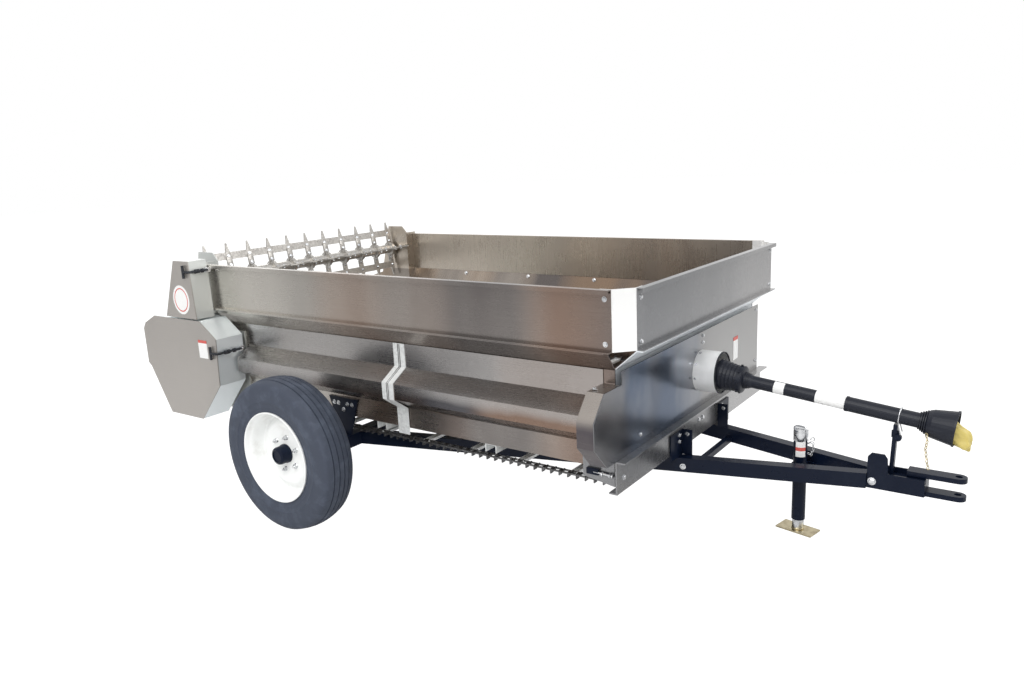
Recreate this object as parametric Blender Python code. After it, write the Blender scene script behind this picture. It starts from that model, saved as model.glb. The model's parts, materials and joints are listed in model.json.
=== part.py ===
"""Towed manure spreader with a stainless box, an apron-chain floor and a rear beater.

Metres, +Z up, +X towards the tractor, +Y the machine's left. The origin is the middle of the
ground area that the machine covers. Lengths along the machine are measured from the front face
of the front cross member, which lies at FRONT_X.
"""
import math

import bmesh
import bpy
from mathutils import Matrix, Vector

# ---- driving dimensions ----
BOX_LENGTH = 2.525          # sideboard box, front face to rear end
BOX_HALF_WIDTH = 0.810      # outer face of a side sideboard
BOX_TOP = 1.167             # top of the sideboards
BOX_SPLIT = 0.9305          # joint between the tub and the sideboards
BOX_OVERHANG = 0.066        # sideboards forward of the cross member's front face
SIDE_INSET = 0.065          # tub wall inside the sideboard face
SHEET = 0.004               # folded sheet thickness
FLOOR_TOP = 0.452
CORNER_CUT = 0.072          # 45 degree cut at the front corners
TONGUE_REACH = 1.090        # cross member to clevis tip
COVER_REACH = 0.486         # gear cover behind the sideboards
WHEEL_RADIUS = 0.362
TYRE_WIDTH = 0.172
TYRE_CLEARANCE = 0.281      # tub wall to the tyre's inner face
AXLE_BACK = 1.558           # axle behind the cross member
RAIL_CLEARANCE = 0.026      # apron's lower run above the rails and the axle
RAIL_HEIGHT = 0.064
RAIL_WIDTH = 0.050
PTO_HEIGHT = 0.665
PTO_DROP = math.radians(6.3)
PTO_PIVOT = 0.060           # universal joint ahead of the cross member
JACK_X = 0.455              # jack forward of the cross member
GAP = 0.0005                # left between pieces that touch

# ---- worked out from them ----
REAR_END = BOX_OVERHANG - BOX_LENGTH
YOKE_TIP = (0.022, TONGUE_REACH - 0.040)    # radius and distance along the drive line of its end
DRIVE_REACH = PTO_PIVOT + YOKE_TIP[1] * math.cos(PTO_DROP) + YOKE_TIP[0] * math.sin(PTO_DROP)
FRONT_X = (COVER_REACH - REAR_END - DRIVE_REACH) / 2
WALL = BOX_HALF_WIDTH - SIDE_INSET      # outer face of the tub wall
TRACK_HALF = WALL + TYRE_CLEARANCE + TYRE_WIDTH / 2     # wheel centre plane from the middle
APRON_Z = FLOOR_TOP - 0.032
APRON_RADIUS = 0.050
CHAIN_DEPTH = 0.012
RAIL_TOP = APRON_Z - APRON_RADIUS - CHAIN_DEPTH / 2 - RAIL_CLEARANCE
NEAR, FAR = -1, 1


def fx(distance):
    """World X of a distance ahead of the front cross member's face."""
    return FRONT_X + distance


def rx(distance):
    """World X of a distance ahead of the sideboards' rear end."""
    return FRONT_X + REAR_END + distance


def hx(distance):
    """World X of a distance behind the clevis tip, which is positive towards the tractor."""
    return FRONT_X + TONGUE_REACH + distance


# ---- materials ----
LOOKS = {
    "stainless": ((0.56, 0.53, 0.49), 0.30, 1.0),
    "galvanised": ((0.60, 0.61, 0.60), 0.45, 1.0),
    "black_paint": ((0.012, 0.013, 0.016), 0.35, 0.0),
    "white_paint": ((0.80, 0.80, 0.78), 0.35, 0.0),
    "tyre": ((0.020, 0.022, 0.025), 0.75, 0.0),
    "black_plastic": ((0.015, 0.015, 0.017), 0.40, 0.0),
    "yellow_plastic": ((0.62, 0.48, 0.05), 0.40, 0.0),
    "zinc_gold": ((0.60, 0.50, 0.26), 0.35, 1.0),
    "steel": ((0.50, 0.50, 0.50), 0.35, 1.0),
    "dark_steel": ((0.16, 0.16, 0.17), 0.45, 1.0),
}


def look(name):
    """The Principled material of that name, made once."""
    material = bpy.data.materials.get(name)
    if material:
        return material
    colour, roughness, metallic = LOOKS[name]
    material = bpy.data.materials.new(name)
    material.use_nodes = True
    shader = material.node_tree.nodes["Principled BSDF"]
    shader.inputs["Base Color"].default_value = (*colour, 1.0)
    shader.inputs["Roughness"].default_value = roughness
    shader.inputs["Metallic"].default_value = metallic
    return material


# ---- shape helpers ----
AXES = {
    "X": Matrix(((0, 0, 1), (1, 0, 0), (0, 1, 0))),     # outline (y, z) pushed along x
    "Y": Matrix(((1, 0, 0), (0, 0, 1), (0, 1, 0))),     # outline (x, z) pushed along y
    "Z": Matrix(((1, 0, 0), (0, 1, 0), (0, 0, 1))),     # outline (x, y) pushed along z
}


def new_object(name, mesh, material, at=(0, 0, 0)):
    """An object in the scene whose mesh is given in world space and whose origin is at `at`."""
    mesh.transform(Matrix.Translation(-Vector(at)))
    body = bpy.data.objects.new(name, mesh)
    body.location = at
    bpy.context.collection.objects.link(body)
    mesh.materials.append(look(material))
    return body


def finish(bm, name):
    """Turn a bmesh into a mesh with outward faces and smooth round sides."""
    bmesh.ops.recalc_face_normals(bm, faces=bm.faces)
    if bm.calc_volume(signed=True) < 0:
        bmesh.ops.reverse_faces(bm, faces=bm.faces)
    mesh = bpy.data.meshes.new(name)
    bm.to_mesh(mesh)
    bm.free()
    mesh.shade_smooth()
    mesh.set_sharp_from_angle(angle=math.radians(35))
    return mesh


def prism(bm, outline, axis, start, end):
    """Push a closed outline along an axis from start to end, inside the bmesh."""
    turn = AXES[axis]
    ring = [bm.verts.new(turn @ Vector((u, v, start))) for u, v in outline]
    face = bm.faces.new(ring)
    pushed = bmesh.ops.extrude_face_region(bm, geom=[face])
    moved = [item for item in pushed["geom"] if isinstance(item, bmesh.types.BMVert)]
    bmesh.ops.translate(bm, verts=moved, vec=turn @ Vector((0, 0, end - start)))


def block(bm, x, y, z):
    """A box between pairs of coordinates."""
    prism(bm, [(x[0], y[0]), (x[1], y[0]), (x[1], y[1]), (x[0], y[1])], "Z", z[0], z[1])


def turned(bm, profile, centre, axis, steps=32):
    """Spin a closed (radius, height) profile about a line through `centre`."""
    axis = Vector(axis).normalized()
    tilt = Vector((0, 0, 1)).rotation_difference(axis).to_matrix()
    closed = profile[0][0] > 0 and profile[-1][0] > 0
    verts = [bm.verts.new(Vector(centre) + tilt @ Vector((r, 0, h))) for r, h in profile]
    edges = [bm.edges.new(pair) for pair in zip(verts, verts[1:])]
    if closed:
        edges.append(bm.edges.new((verts[-1], verts[0])))
    bmesh.ops.spin(
        bm, geom=verts + edges, cent=centre, axis=axis, angle=2 * math.pi, steps=steps,
        use_merge=True,
    )
    bmesh.ops.remove_doubles(bm, verts=bm.verts, dist=0.00001)


def solid(name, material, draw, at=(0, 0, 0)):
    """One piece drawn by a function into a bmesh."""
    bm = bmesh.new()
    draw(bm)
    return new_object(name, finish(bm, name), material, at)


def extruded(name, material, outline, axis, start, end, at=(0, 0, 0)):
    """One piece made of a single pushed outline."""
    return solid(name, material, lambda bm: prism(bm, outline, axis, start, end), at)


def boolean(body, operation, draw):
    """Add or cut a shape drawn by a function, and keep the result in the mesh."""
    bm = bmesh.new()
    draw(bm)
    tool = bpy.data.objects.new(body.name + "_tool", finish(bm, body.name + "_tool"))
    tool.location = body.location
    tool.data.transform(Matrix.Translation(-body.location))
    tool.hide_render = True
    tool.display_type = "WIRE"
    bpy.context.collection.objects.link(tool)
    bpy.context.view_layer.update()
    modifier = body.modifiers.new(operation, "BOOLEAN")
    modifier.operation = operation
    modifier.object = tool
    graph = bpy.context.evaluated_depsgraph_get()
    result = bpy.data.meshes.new_from_object(body.evaluated_get(graph))
    old = body.data
    body.modifiers.clear()
    body.data = result
    bpy.data.meshes.remove(old)
    bpy.data.objects.remove(tool)
    return body


def joined(name, material, draws, at=(0, 0, 0)):
    """One piece made of overlapping shapes, joined into a single body."""
    body = solid(name, material, draws[0], at)
    for draw in draws[1:]:
        boolean(body, "UNION", draw)
    return body


def strip(points, thickness):
    """Closed outline of a folded sheet: the points are one face, the other lies to their left."""
    path = [Vector(p) for p in points]
    offset = []
    for i, point in enumerate(path):
        before = (point - path[i - 1]).normalized() if i else None
        after = (path[i + 1] - point).normalized() if i < len(path) - 1 else None
        before = before or after
        after = after or before
        normals = [Vector((-d.y, d.x)) for d in (before, after)]
        mitre = (normals[0] + normals[1]).normalized()
        offset.append(point + mitre * thickness / mitre.dot(normals[0]))
    return [tuple(p) for p in path] + [tuple(p) for p in reversed(offset)]


def mirrored(outline, side):
    """An outline drawn for the far side, turned over for the near side when side is -1."""
    return [(side * u, v) for u, v in outline]


# ---- the box ----
LIP = 0.024                 # turned-out lips of the sheets


def tub():
    """Floor, two flared side walls and the front wall of the lower box."""
    rear, front = fx(REAR_END), fx(-0.030)
    flare_bottom = PANEL_TOP
    wall_bottom = FLOOR_TOP - 0.012
    lip_z = BOX_SPLIT - GAP
    profile = strip([
        (WALL, wall_bottom), (WALL, flare_bottom), (BOX_HALF_WIDTH - SHEET, lip_z - SHEET),
        (BOX_HALF_WIDTH + LIP, lip_z - SHEET)], SHEET)
    for name, side in (("tub_side_near", NEAR), ("tub_side_far", FAR)):
        extruded(name, "stainless", mirrored(profile, side), "X", rear, front)
    wall = strip([
        (front + GAP - 0.002, wall_bottom), (front + GAP - 0.002, flare_bottom),
        (fx(BOX_OVERHANG) - SHEET, lip_z - SHEET),
        (fx(BOX_OVERHANG) + LIP - 0.004, lip_z - SHEET)], SHEET)
    inner = WALL - SHEET - GAP
    extruded("tub_front", "stainless", wall, "Y", -inner, inner)
    floor_front = fx(APRON_FRONT) - APRON_RADIUS - 0.012
    solid("floor", "stainless", lambda bm: block(
        bm, (rear, floor_front), (-inner, inner), (FLOOR_TOP - 0.012, FLOOR_TOP)))


def sideboards():
    """Two side sideboards, the front one and the two cut corners."""
    inner = BOX_HALF_WIDTH - SHEET
    hem = 0.018
    low = BOX_SPLIT

    def channel(edge):
        """Section with turned-out lips; `edge` is the inner face."""
        out = edge + LIP + SHEET
        return [
            (edge, low), (out, low), (out, low + SHEET), (edge + SHEET, low + SHEET),
            (edge + SHEET, BOX_TOP - SHEET), (out - SHEET, BOX_TOP - SHEET),
            (out - SHEET, BOX_TOP - hem), (out, BOX_TOP - hem), (out, BOX_TOP), (edge, BOX_TOP)]

    rear, front = fx(REAR_END), fx(BOX_OVERHANG - CORNER_CUT)
    for name, side in (("sideboard_near", NEAR), ("sideboard_far", FAR)):
        extruded(name, "stainless", mirrored(channel(inner), side), "X", rear, front)
    face = fx(BOX_OVERHANG)
    half = BOX_HALF_WIDTH - CORNER_CUT
    extruded("sideboard_front", "stainless", channel(face - SHEET), "Y", -half, half)
    tab = 0.050
    for name, side in (("corner_near", NEAR), ("corner_far", FAR)):
        path = [
            (front - tab, inner - GAP), (front, inner - GAP),
            (face - SHEET - GAP, half), (face - SHEET - GAP, half - tab)]
        outline = [(x, side * y) for x, y in strip(path, -SHEET)]
        extruded(name, "stainless", outline, "Z", low, BOX_TOP)


# ---- front ----
CROSS_TOP = 0.500
CROSS_BOTTOM = 0.363
PANEL_TOP = 0.845           # where the tub walls start to flare


def front():
    """Z-section cross member, the drive panel above it and the chain-drive end cap."""
    web = 0.006
    flange = 0.036
    half = WALL + 0.055
    cross = [
        (fx(-web), CROSS_BOTTOM), (fx(0), CROSS_BOTTOM), (fx(0), CROSS_TOP - web),
        (fx(flange), CROSS_TOP - web), (fx(flange), CROSS_TOP), (fx(-web), CROSS_TOP)]
    cross[0:1] = [
        (fx(-web), CROSS_BOTTOM + web), (fx(-flange), CROSS_BOTTOM + web),
        (fx(-flange), CROSS_BOTTOM)]
    extruded("front_cross_member", "stainless", cross, "Y", -half, half)
    panel = [
        (-WALL, PANEL_TOP), (-WALL, 0.793), (-WALL - 0.136, 0.793), (-WALL - 0.217, 0.700),
        (-WALL - 0.217, 0.597), (-WALL - 0.127, CROSS_TOP + GAP), (WALL, CROSS_TOP + GAP),
        (WALL, PANEL_TOP)]
    extruded("drive_panel", "stainless", panel, "X", fx(-SHEET), fx(0))
    cap = strip([
        (WALL + 0.010, 0.793), (WALL + 0.136, 0.793), (WALL + 0.217, 0.700),
        (WALL + 0.217, 0.597), (WALL + 0.127, CROSS_TOP + GAP)], -0.003)
    extruded("drive_end_cap", "stainless", mirrored(cap, NEAR), "X", fx(-0.075), fx(-SHEET - GAP))
    for name, side in (("front_gusset_near", NEAR), ("front_gusset_far", FAR)):
        plate = [
            (fx(-0.180), 0.4395), (fx(-0.180), 0.395), (fx(-0.036 - GAP), 0.372),
            (fx(-0.036 - GAP), 0.500), (fx(-0.180), 0.540)]
        start = side * (WALL + GAP)
        extruded(name, "stainless", plate, "Y", start, start + side * 0.005)


# ---- near side shield ----
SHIELD_OUT = WALL + 0.095


def shields():
    """Shield over the drive line along the near side, in two lengths with a strap at the joint."""
    inner = WALL + 0.0055
    wall = WALL + GAP + 0.003
    top, bend, crest, foot = PANEL_TOP, 0.733, 0.676, 0.604
    path = [
        (inner, 0.545), (SHIELD_OUT, foot), (SHIELD_OUT, crest), (wall, bend), (wall, top)]
    joint, width = (rx(0.197) + fx(-0.080)) / 2 + 0.021, 0.070
    profile = mirrored(strip(path, 0.003), NEAR)
    extruded("shield_rear", "stainless", profile, "X", rx(0.197), joint - width / 2)
    extruded("shield_front", "stainless", profile, "X", joint + width / 2, fx(-0.080))
    cover = [
        (inner + 0.0035, 0.410), (inner + 0.0035, 0.540), (SHIELD_OUT + 0.0005, foot - 0.002),
        (SHIELD_OUT + 0.0005, crest + 0.002), (wall + GAP, bend), (wall + GAP, top)]
    strap = mirrored(strip(cover, -0.003), NEAR)
    extruded("shield_strap", "galvanised", strap, "X", joint - width / 2, joint + width / 2)
    start = -(WALL + GAP)
    solid("side_panel_near", "stainless", lambda bm: block(
        bm, (joint + width / 2 + GAP, fx(-0.180 - GAP)), (start - 0.004, start), (0.455, 0.540)))


# ---- rear ----
BEATER_X = REAR_END - 0.141
BEATER_Z = BOX_SPLIT + 0.1395
BEARING_BORE = 0.0206
PLATE = 0.006
PLATE_IN = WALL + GAP
GEAR_RIM = -(WALL + 0.0405)             # open edge of the gear cover
BEARING_RIM = -(BOX_HALF_WIDTH + 0.030)     # open edge of the bearing cover


def rear_plates():
    """Side plates that carry the beater and the apron's rear shaft."""
    hinge_x = rx(-COVER_REACH)
    outline = [
        (rx(0.159), 0.360), (rx(0.159), 0.800), (rx(-0.001), 0.800),
        (rx(-0.001), BOX_TOP + 0.013), (rx(-0.040), BOX_TOP + 0.055),
        (rx(-0.165), BOX_TOP + 0.055), (rx(-0.256), 0.900), (rx(-0.461), 0.840),
        (hinge_x + 0.005, 0.800), (hinge_x + 0.005, 0.600), (rx(-0.316), 0.345),
        (rx(-0.021), 0.345)]

    for name, side in (("rear_plate_near", NEAR), ("rear_plate_far", FAR)):
        start = side * PLATE_IN
        end = start + side * PLATE
        plate = extruded(name, "stainless", outline, "Y", start, end)
        boolean(plate, "DIFFERENCE", lambda bm, s=side: turned(
            bm, [(0, -0.05), (BEARING_BORE, -0.05), (BEARING_BORE, 0.05), (0, 0.05)],
            (fx(BEATER_X), s * (PLATE_IN + PLATE / 2), BEATER_Z), (0, 1, 0), 24))
        edge = sorted((start, side * (BOX_HALF_WIDTH + LIP)))
        low = 0.900 if side == NEAR else 0.800
        boolean(plate, "UNION", lambda bm, e=edge, z=low: block(
            bm, (rx(-0.001 - PLATE), rx(-0.001)), e, (z, BOX_TOP + 0.013)))
        if side == NEAR:
            boolean(plate, "UNION", lambda bm: block(
                bm, (hinge_x + 0.001, hinge_x + 0.009), (GEAR_RIM + GAP, end), (0.620, 0.790)))
            boolean(plate, "UNION", lambda bm: block(
                bm, (rx(-0.231), rx(-0.225)), (BEARING_RIM + GAP, end), (0.896, 0.930)))


def beater():
    """Rear beater: shaft with its drive sprocket, and four toothed paddles around it."""
    centre = Vector((fx(BEATER_X), 0, BEATER_Z))
    reach = WALL - SHEET - 0.012
    shaft_radius = 0.030
    drive = PLATE_IN + 0.048                # inner face of the drive sprocket

    def shaft(bm):
        turned(bm, [
            (0, -PLATE_IN - 0.075), (0.020, -PLATE_IN - 0.075), (0.020, -reach),
            (shaft_radius, -reach), (shaft_radius, reach), (0.020, reach),
            (0.020, PLATE_IN + 0.030), (0, PLATE_IN + 0.030)], centre, (0, 1, 0), 24)

    def sprocket(bm):
        turned(bm, [(0.015, -drive - 0.012), (0.070, -drive - 0.012), (0.070, -drive),
                    (0.015, -drive)], centre, (0, 1, 0), 24)

    joined("beater_shaft", "galvanised", [shaft, sprocket], centre)
    root, bar_in, bar_out, tip = shaft_radius + GAP, 0.088, 0.130, 0.182
    stem, thickness, count = 0.014, 0.008, 11
    first = -reach + stem
    pitch = -2 * first / (count - 1)
    middles = [first + i * pitch for i in range(count)]
    comb = []
    for y in middles:
        comb += [(y - stem, bar_out), (y - 0.004, tip), (y + 0.002, tip), (y + stem, bar_out)]
    for y in reversed(middles):
        comb += [(y + stem, bar_in), (y + stem, root), (y - stem, root), (y - stem, bar_in)]
    lean = math.radians(-8)
    for i in range(4):
        turn = Matrix.Rotation(lean + i * math.pi / 2, 4, "Y")

        def paddle(bm):
            prism(bm, comb, "X", -thickness / 2, thickness / 2)
            for vert in bm.verts:
                vert.co = centre + turn @ vert.co

        solid(f"beater_paddle_{i + 1}", "galvanised", paddle, centre)


def covers():
    """Sheet-metal boxes over the near-side drive, open on their inner side."""
    face = -(WALL + 0.205)
    hinge_x = rx(-COVER_REACH)
    gear = [
        (rx(-0.361), 0.885), (rx(0.059), 0.885), (rx(0.189), 0.797), (rx(0.174), 0.545),
        (rx(-0.021), 0.334), (rx(-0.316), 0.331), (hinge_x + 0.024, 0.585), (hinge_x, 0.605),
        (hinge_x, 0.804), (hinge_x + 0.025, 0.838)]
    bearing = [
        (rx(-0.234), 0.893), (rx(0.044), 0.893), (rx(0.029), BOX_TOP + 0.033),
        (rx(-0.103), BOX_TOP + 0.033)]
    table = (
        ("gear_cover", gear, GEAR_RIM, (hinge_x, GEAR_RIM, 0.7)),
        ("bearing_cover", bearing, BEARING_RIM, (rx(-0.234), BEARING_RIM, 1.0)),
    )
    for name, outline, rim, hinge in table:
        cover = extruded(name, "stainless", outline, "Y", face, rim, hinge)
        middle = sum((Vector(p) for p in outline), Vector((0, 0))) / len(outline)
        shrink = [tuple(middle + (Vector(p) - middle) * 0.985) for p in outline]
        boolean(cover, "DIFFERENCE", lambda bm, s=shrink, r=rim: prism(
            bm, s, "Y", face + 0.003, r + 0.01))


# ---- apron ----
APRON_FRONT = -0.125
APRON_REAR = REAR_END - 0.101
CHAIN_Y = WALL - 0.045


def apron():
    """The two chain loops of the apron, and the shafts they run on."""
    thick = CHAIN_DEPTH
    front_x, rear_x = fx(APRON_FRONT), fx(APRON_REAR)

    def oval(radius):
        """Outline round both shafts at a radius, as (x, z)."""
        steps = 12
        points = []
        for centre_x, start in ((front_x, -90), (rear_x, 90)):
            for i in range(steps + 1):
                a = math.radians(start + 180 * i / steps)
                points.append((centre_x + radius * math.cos(a), APRON_Z + radius * math.sin(a)))
        return points

    def ring(y):
        def draw(bm):
            outer = oval(APRON_RADIUS + thick / 2)
            inner = oval(APRON_RADIUS - thick / 2)
            rings = []
            for side in (-0.018, 0.018):
                rings.append([[bm.verts.new((px, y + side, pz)) for px, pz in loop]
                              for loop in (outer, inner)])
            count = len(outer)
            for i in range(count):
                j = (i + 1) % count
                (o0, i0), (o1, i1) = rings
                bm.faces.new((o0[i], o0[j], o1[j], o1[i]))
                bm.faces.new((i0[i], i1[i], i1[j], i0[j]))
                bm.faces.new((o0[i], i0[i], i0[j], o0[j]))
                bm.faces.new((o1[i], o1[j], i1[j], i1[i]))
        return draw

    for name, side in (("apron_chain_near", NEAR), ("apron_chain_far", FAR)):
        solid(name, "dark_steel", ring(side * CHAIN_Y))
    sprocket = APRON_RADIUS - thick / 2 - GAP
    table = (
        ("apron_front_shaft", front_x, WALL - SHEET - GAP),
        ("apron_rear_shaft", rear_x, PLATE_IN - GAP),
    )
    for name, x, half in table:
        profile = [
            (0, -half), (0.018, -half), (0.018, -CHAIN_Y - 0.010), (sprocket, -CHAIN_Y - 0.010),
            (sprocket, -CHAIN_Y + 0.010), (0.018, -CHAIN_Y + 0.010), (0.018, CHAIN_Y - 0.010),
            (sprocket, CHAIN_Y - 0.010), (sprocket, CHAIN_Y + 0.010), (0.018, CHAIN_Y + 0.010),
            (0.018, half), (0, half)]
        solid(name, "dark_steel", lambda bm, c=x, p=profile: turned(
            bm, p, (c, 0, APRON_Z), (0, 1, 0), 24))


def floor_cross_members():
    """Channels under the floor."""
    top = FLOOR_TOP - 0.012 - GAP
    count = 3
    for i in range(count):
        x = fx(APRON_FRONT + (APRON_REAR - APRON_FRONT) * (i + 0.80) / (count + 0.69))
        section = strip([
            (x - 0.030, top - 0.038), (x - 0.030, top), (x + 0.030, top), (x + 0.030, top - 0.038)],
            -0.004)
        half = WALL - SHEET - GAP
        extruded(f"floor_member_{i + 1}", "galvanised", section, "Y", -half, half)


# ---- running gear ----
CHEEK_REACH = 0.353         # back of the hitch cheeks behind the clevis tip
RAIL_Y = (0.241, 0.037)     # middle of a rail from the machine's middle: at the front, at its end
RAIL_SLOPE = (RAIL_Y[0] - RAIL_Y[1]) / (TONGUE_REACH - CHEEK_REACH)
RAIL_HALF = RAIL_WIDTH / 2 / math.cos(math.atan(RAIL_SLOPE))


def rail_y(distance):
    """Middle of a drawbar rail from the machine's middle, at a distance ahead of the front."""
    return RAIL_Y[0] - RAIL_SLOPE * distance


def running_gear():
    """Axle beam with spindles, and brackets up to the tub."""
    axle_x = fx(-AXLE_BACK)
    low = RAIL_TOP - RAIL_HEIGHT
    end_in = WALL + 0.100               # inner face of the plates that carry the spindles

    def beam(bm):
        reach = end_in + 0.035
        block(bm, (axle_x - 0.035, axle_x + 0.035), (-reach, reach), (low, RAIL_TOP))

    def ends(bm):
        for side in (NEAR, FAR):
            y = sorted((side * end_in, side * (end_in + 0.025)))
            block(bm, (axle_x - 0.030, axle_x + 0.030), y, (low + 0.010, WHEEL_RADIUS + 0.035))

    def spindles(bm):
        for side in (NEAR, FAR):
            root = end_in + 0.005
            turned(bm, [(0, root), (0.022, root), (0.022, TRACK_HALF), (0, TRACK_HALF)],
                   (axle_x, 0, WHEEL_RADIUS), (0, side, 0), 24)

    def bracket(side):
        def draw(bm):
            start = side * (WALL + GAP)
            outline = [
                (axle_x - 0.032, RAIL_TOP - 0.010), (axle_x + 0.032, RAIL_TOP - 0.010),
                (axle_x + 0.100, 0.530), (axle_x - 0.100, 0.530)]
            prism(bm, outline, "Y", start, start + side * 0.008)
        return draw

    joined("axle", "black_paint", [beam, ends, spindles, bracket(NEAR), bracket(FAR)])


def wheels():
    """Hub, rim and tyre of each wheel."""
    axle_x = fx(-AXLE_BACK)
    radius, half = WHEEL_RADIUS, TYRE_WIDTH / 2
    rim = 0.212
    tyre = [
        (rim + 0.0025, half - 0.0082), (rim + 0.030, half - 0.003), (0.290, half),
        (radius - 0.020, half - 0.010), (radius - 0.004, half - 0.030), (radius, 0.0)]
    tyre = tyre + [(r, -h) for r, h in reversed(tyre[:-1])]
    rim_profile = [
        (rim + 0.002, 0.078), (rim - 0.004, 0.086), (rim - 0.010, 0.080), (rim - 0.022, 0.055),
        (0.150, 0.020), (0.120, 0.012), (0.075, 0.014), (0.0405, 0.014), (0.0405, 0.006),
        (0.120, 0.006), (0.170, -0.010), (rim - 0.026, -0.055), (rim - 0.010, -0.084),
        (rim + 0.002, -0.078), (rim - 0.008, -0.050), (rim - 0.010, 0.050)]
    for name, side in (("near", NEAR), ("far", FAR)):
        centre = Vector((axle_x, side * TRACK_HALF, radius))
        out = (0, side, 0)
        solid("tyre_" + name, "tyre", lambda bm: turned(bm, tyre, centre, out, 36), centre)
        solid("rim_" + name, "white_paint",
              lambda bm: turned(bm, rim_profile, centre, out, 36), centre)
        hub = [
            (0.0225, -0.200), (0.038, -0.200), (0.038, -0.040), (0.070, -0.040), (0.070, 0.0055),
            (0.040, 0.0055), (0.040, 0.055), (0.030, 0.065), (0, 0.065), (0, 0.010),
            (0.0225, 0.010)]
        solid("hub_" + name, "black_paint", lambda bm: turned(bm, hub, centre, out, 32), centre)


# ---- drawbar ----
def drawbar():
    """Two converging rails from the axle to the hitch, their brackets, brace and hitch head."""
    low = RAIL_TOP - RAIL_HEIGHT
    start, end = -AXLE_BACK + 0.035 + GAP, TONGUE_REACH - CHEEK_REACH - GAP
    half = RAIL_HALF
    for name, side in (("near", NEAR), ("far", FAR)):
        outline = [
            (fx(start), side * (rail_y(start) - half)), (fx(end), side * (rail_y(end) - half)),
            (fx(end), side * (rail_y(end) + half)), (fx(start), side * (rail_y(start) + half))]
        extruded("rail_" + name, "black_paint", outline, "Z", low, RAIL_TOP)
        angle = [
            (fx(GAP), side * 0.205), (fx(0.050), side * 0.205), (fx(0.050), side * 0.212),
            (fx(0.007), side * 0.212), (fx(0.007), side * 0.330), (fx(GAP), side * 0.330)]
        extruded("rail_bracket_" + name, "black_paint", angle, "Z", RAIL_TOP + GAP, 0.455)
    brace_x, brace_half = 0.062, 0.013
    reach = rail_y(brace_x + brace_half) - half - GAP
    solid("rail_brace", "black_paint", lambda bm: block(
        bm, (fx(brace_x - brace_half), fx(brace_x + brace_half)), (-reach, reach),
        (low + 0.002, low + 0.028)))


def hitch():
    """Hitch head: two cheeks on the rails' ends, a web between them and two clevis bars."""
    plate = 0.008
    half = 0.052
    top, bottom = RAIL_TOP + 0.007, RAIL_TOP - 0.063
    back, front = hx(-CHEEK_REACH), hx(-0.140)
    upper, lower = RAIL_TOP + 0.008, RAIL_TOP - 0.070
    radius = 0.030
    eye = hx(-radius)

    def body(bm):
        block(bm, (back, front), (-half, half), (RAIL_TOP - 0.050, RAIL_TOP - 0.014))

    def bar(z):
        def draw(bm):
            steps = 8
            outline = [(hx(-0.210), -radius), (eye, -radius)]
            outline += [(eye + radius * math.sin(math.pi * i / steps),
                         -radius * math.cos(math.pi * i / steps)) for i in range(1, steps)]
            outline += [(eye, radius), (hx(-0.210), radius)]
            prism(bm, outline, "Z", z, z + 0.020)
        return draw

    def cheek(side):
        def draw(bm):
            outline = [(back, bottom), (front, bottom), (front, top)]
            if side == NEAR:
                outline += [
                    (back + 0.078, top), (back + 0.074, top + 0.063), (back + 0.062, top + 0.080),
                    (back + 0.014, top + 0.080), (back, top + 0.063)]
            else:
                outline.append((back, top))
            prism(bm, outline, "Y", side * (half - plate), side * half)
        return draw

    def web(bm):
        outline = [(hx(-0.210), lower), (front, lower), (front, upper + 0.020),
                   (hx(-0.210), upper + 0.020)]
        prism(bm, outline, "Y", -0.026, 0.026)

    head = joined("hitch_head", "black_paint", [
        body, bar(upper), bar(lower + 0.004), cheek(NEAR), cheek(FAR), web])
    boolean(head, "DIFFERENCE", lambda bm: turned(
        bm, [(0, -0.2), (0.013, -0.2), (0.013, 0.2), (0, 0.2)], (eye, 0, RAIL_TOP), (0, 0, 1), 24))


# ---- jack ----
def jack():
    """Screw jack: mount, outer tube with cap, and the sliding leg with its foot."""
    x = fx(JACK_X)
    tube, bore, leg = 0.0285, 0.0245, 0.0238
    bottom, top = 0.052, 0.462
    solid("jack_tube", "black_paint", lambda bm: turned(
        bm, [(bore, bottom), (tube, bottom), (tube, top), (0, top), (0, top - 0.020),
             (bore, top - 0.020)], (x, 0, 0), (0, 0, 1), 32), (x, 0, bottom))

    def plate(bm):
        outline = []
        for along, across in ((-0.045, -1), (0.045, -1), (0.045, 1), (-0.045, 1)):
            reach = rail_y(JACK_X + along) - RAIL_HALF - GAP
            outline.append((x + along, across * reach))
        prism(bm, outline, "Z", RAIL_TOP - 0.060, RAIL_TOP - 0.048)

    mount = solid("jack_mount", "black_paint", plate)
    boolean(mount, "DIFFERENCE", lambda bm: turned(
        bm, [(0, -0.1), (tube + GAP, -0.1), (tube + GAP, 0.1), (0, 0.1)],
        (x, 0, RAIL_TOP - 0.054), (0, 0, 1), 32))

    def foot(bm):
        turn = Matrix.Rotation(math.radians(-12), 3, "Z")
        corners = [turn @ Vector((u, v, 0)) for u, v in (
            (-0.082, -0.044), (0.082, -0.044), (0.082, 0.044), (-0.082, 0.044))]
        prism(bm, [(x + c.x, c.y) for c in corners], "Z", 0, 0.006)

    def stem(bm):
        turned(bm, [(0, 0.003), (leg, 0.003), (leg, 0.300), (0, 0.300)],
               (x, 0, 0), (0, 0, 1), 32)

    joined("jack_leg", "zinc_gold", [foot, stem], (x, 0, 0))


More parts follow.
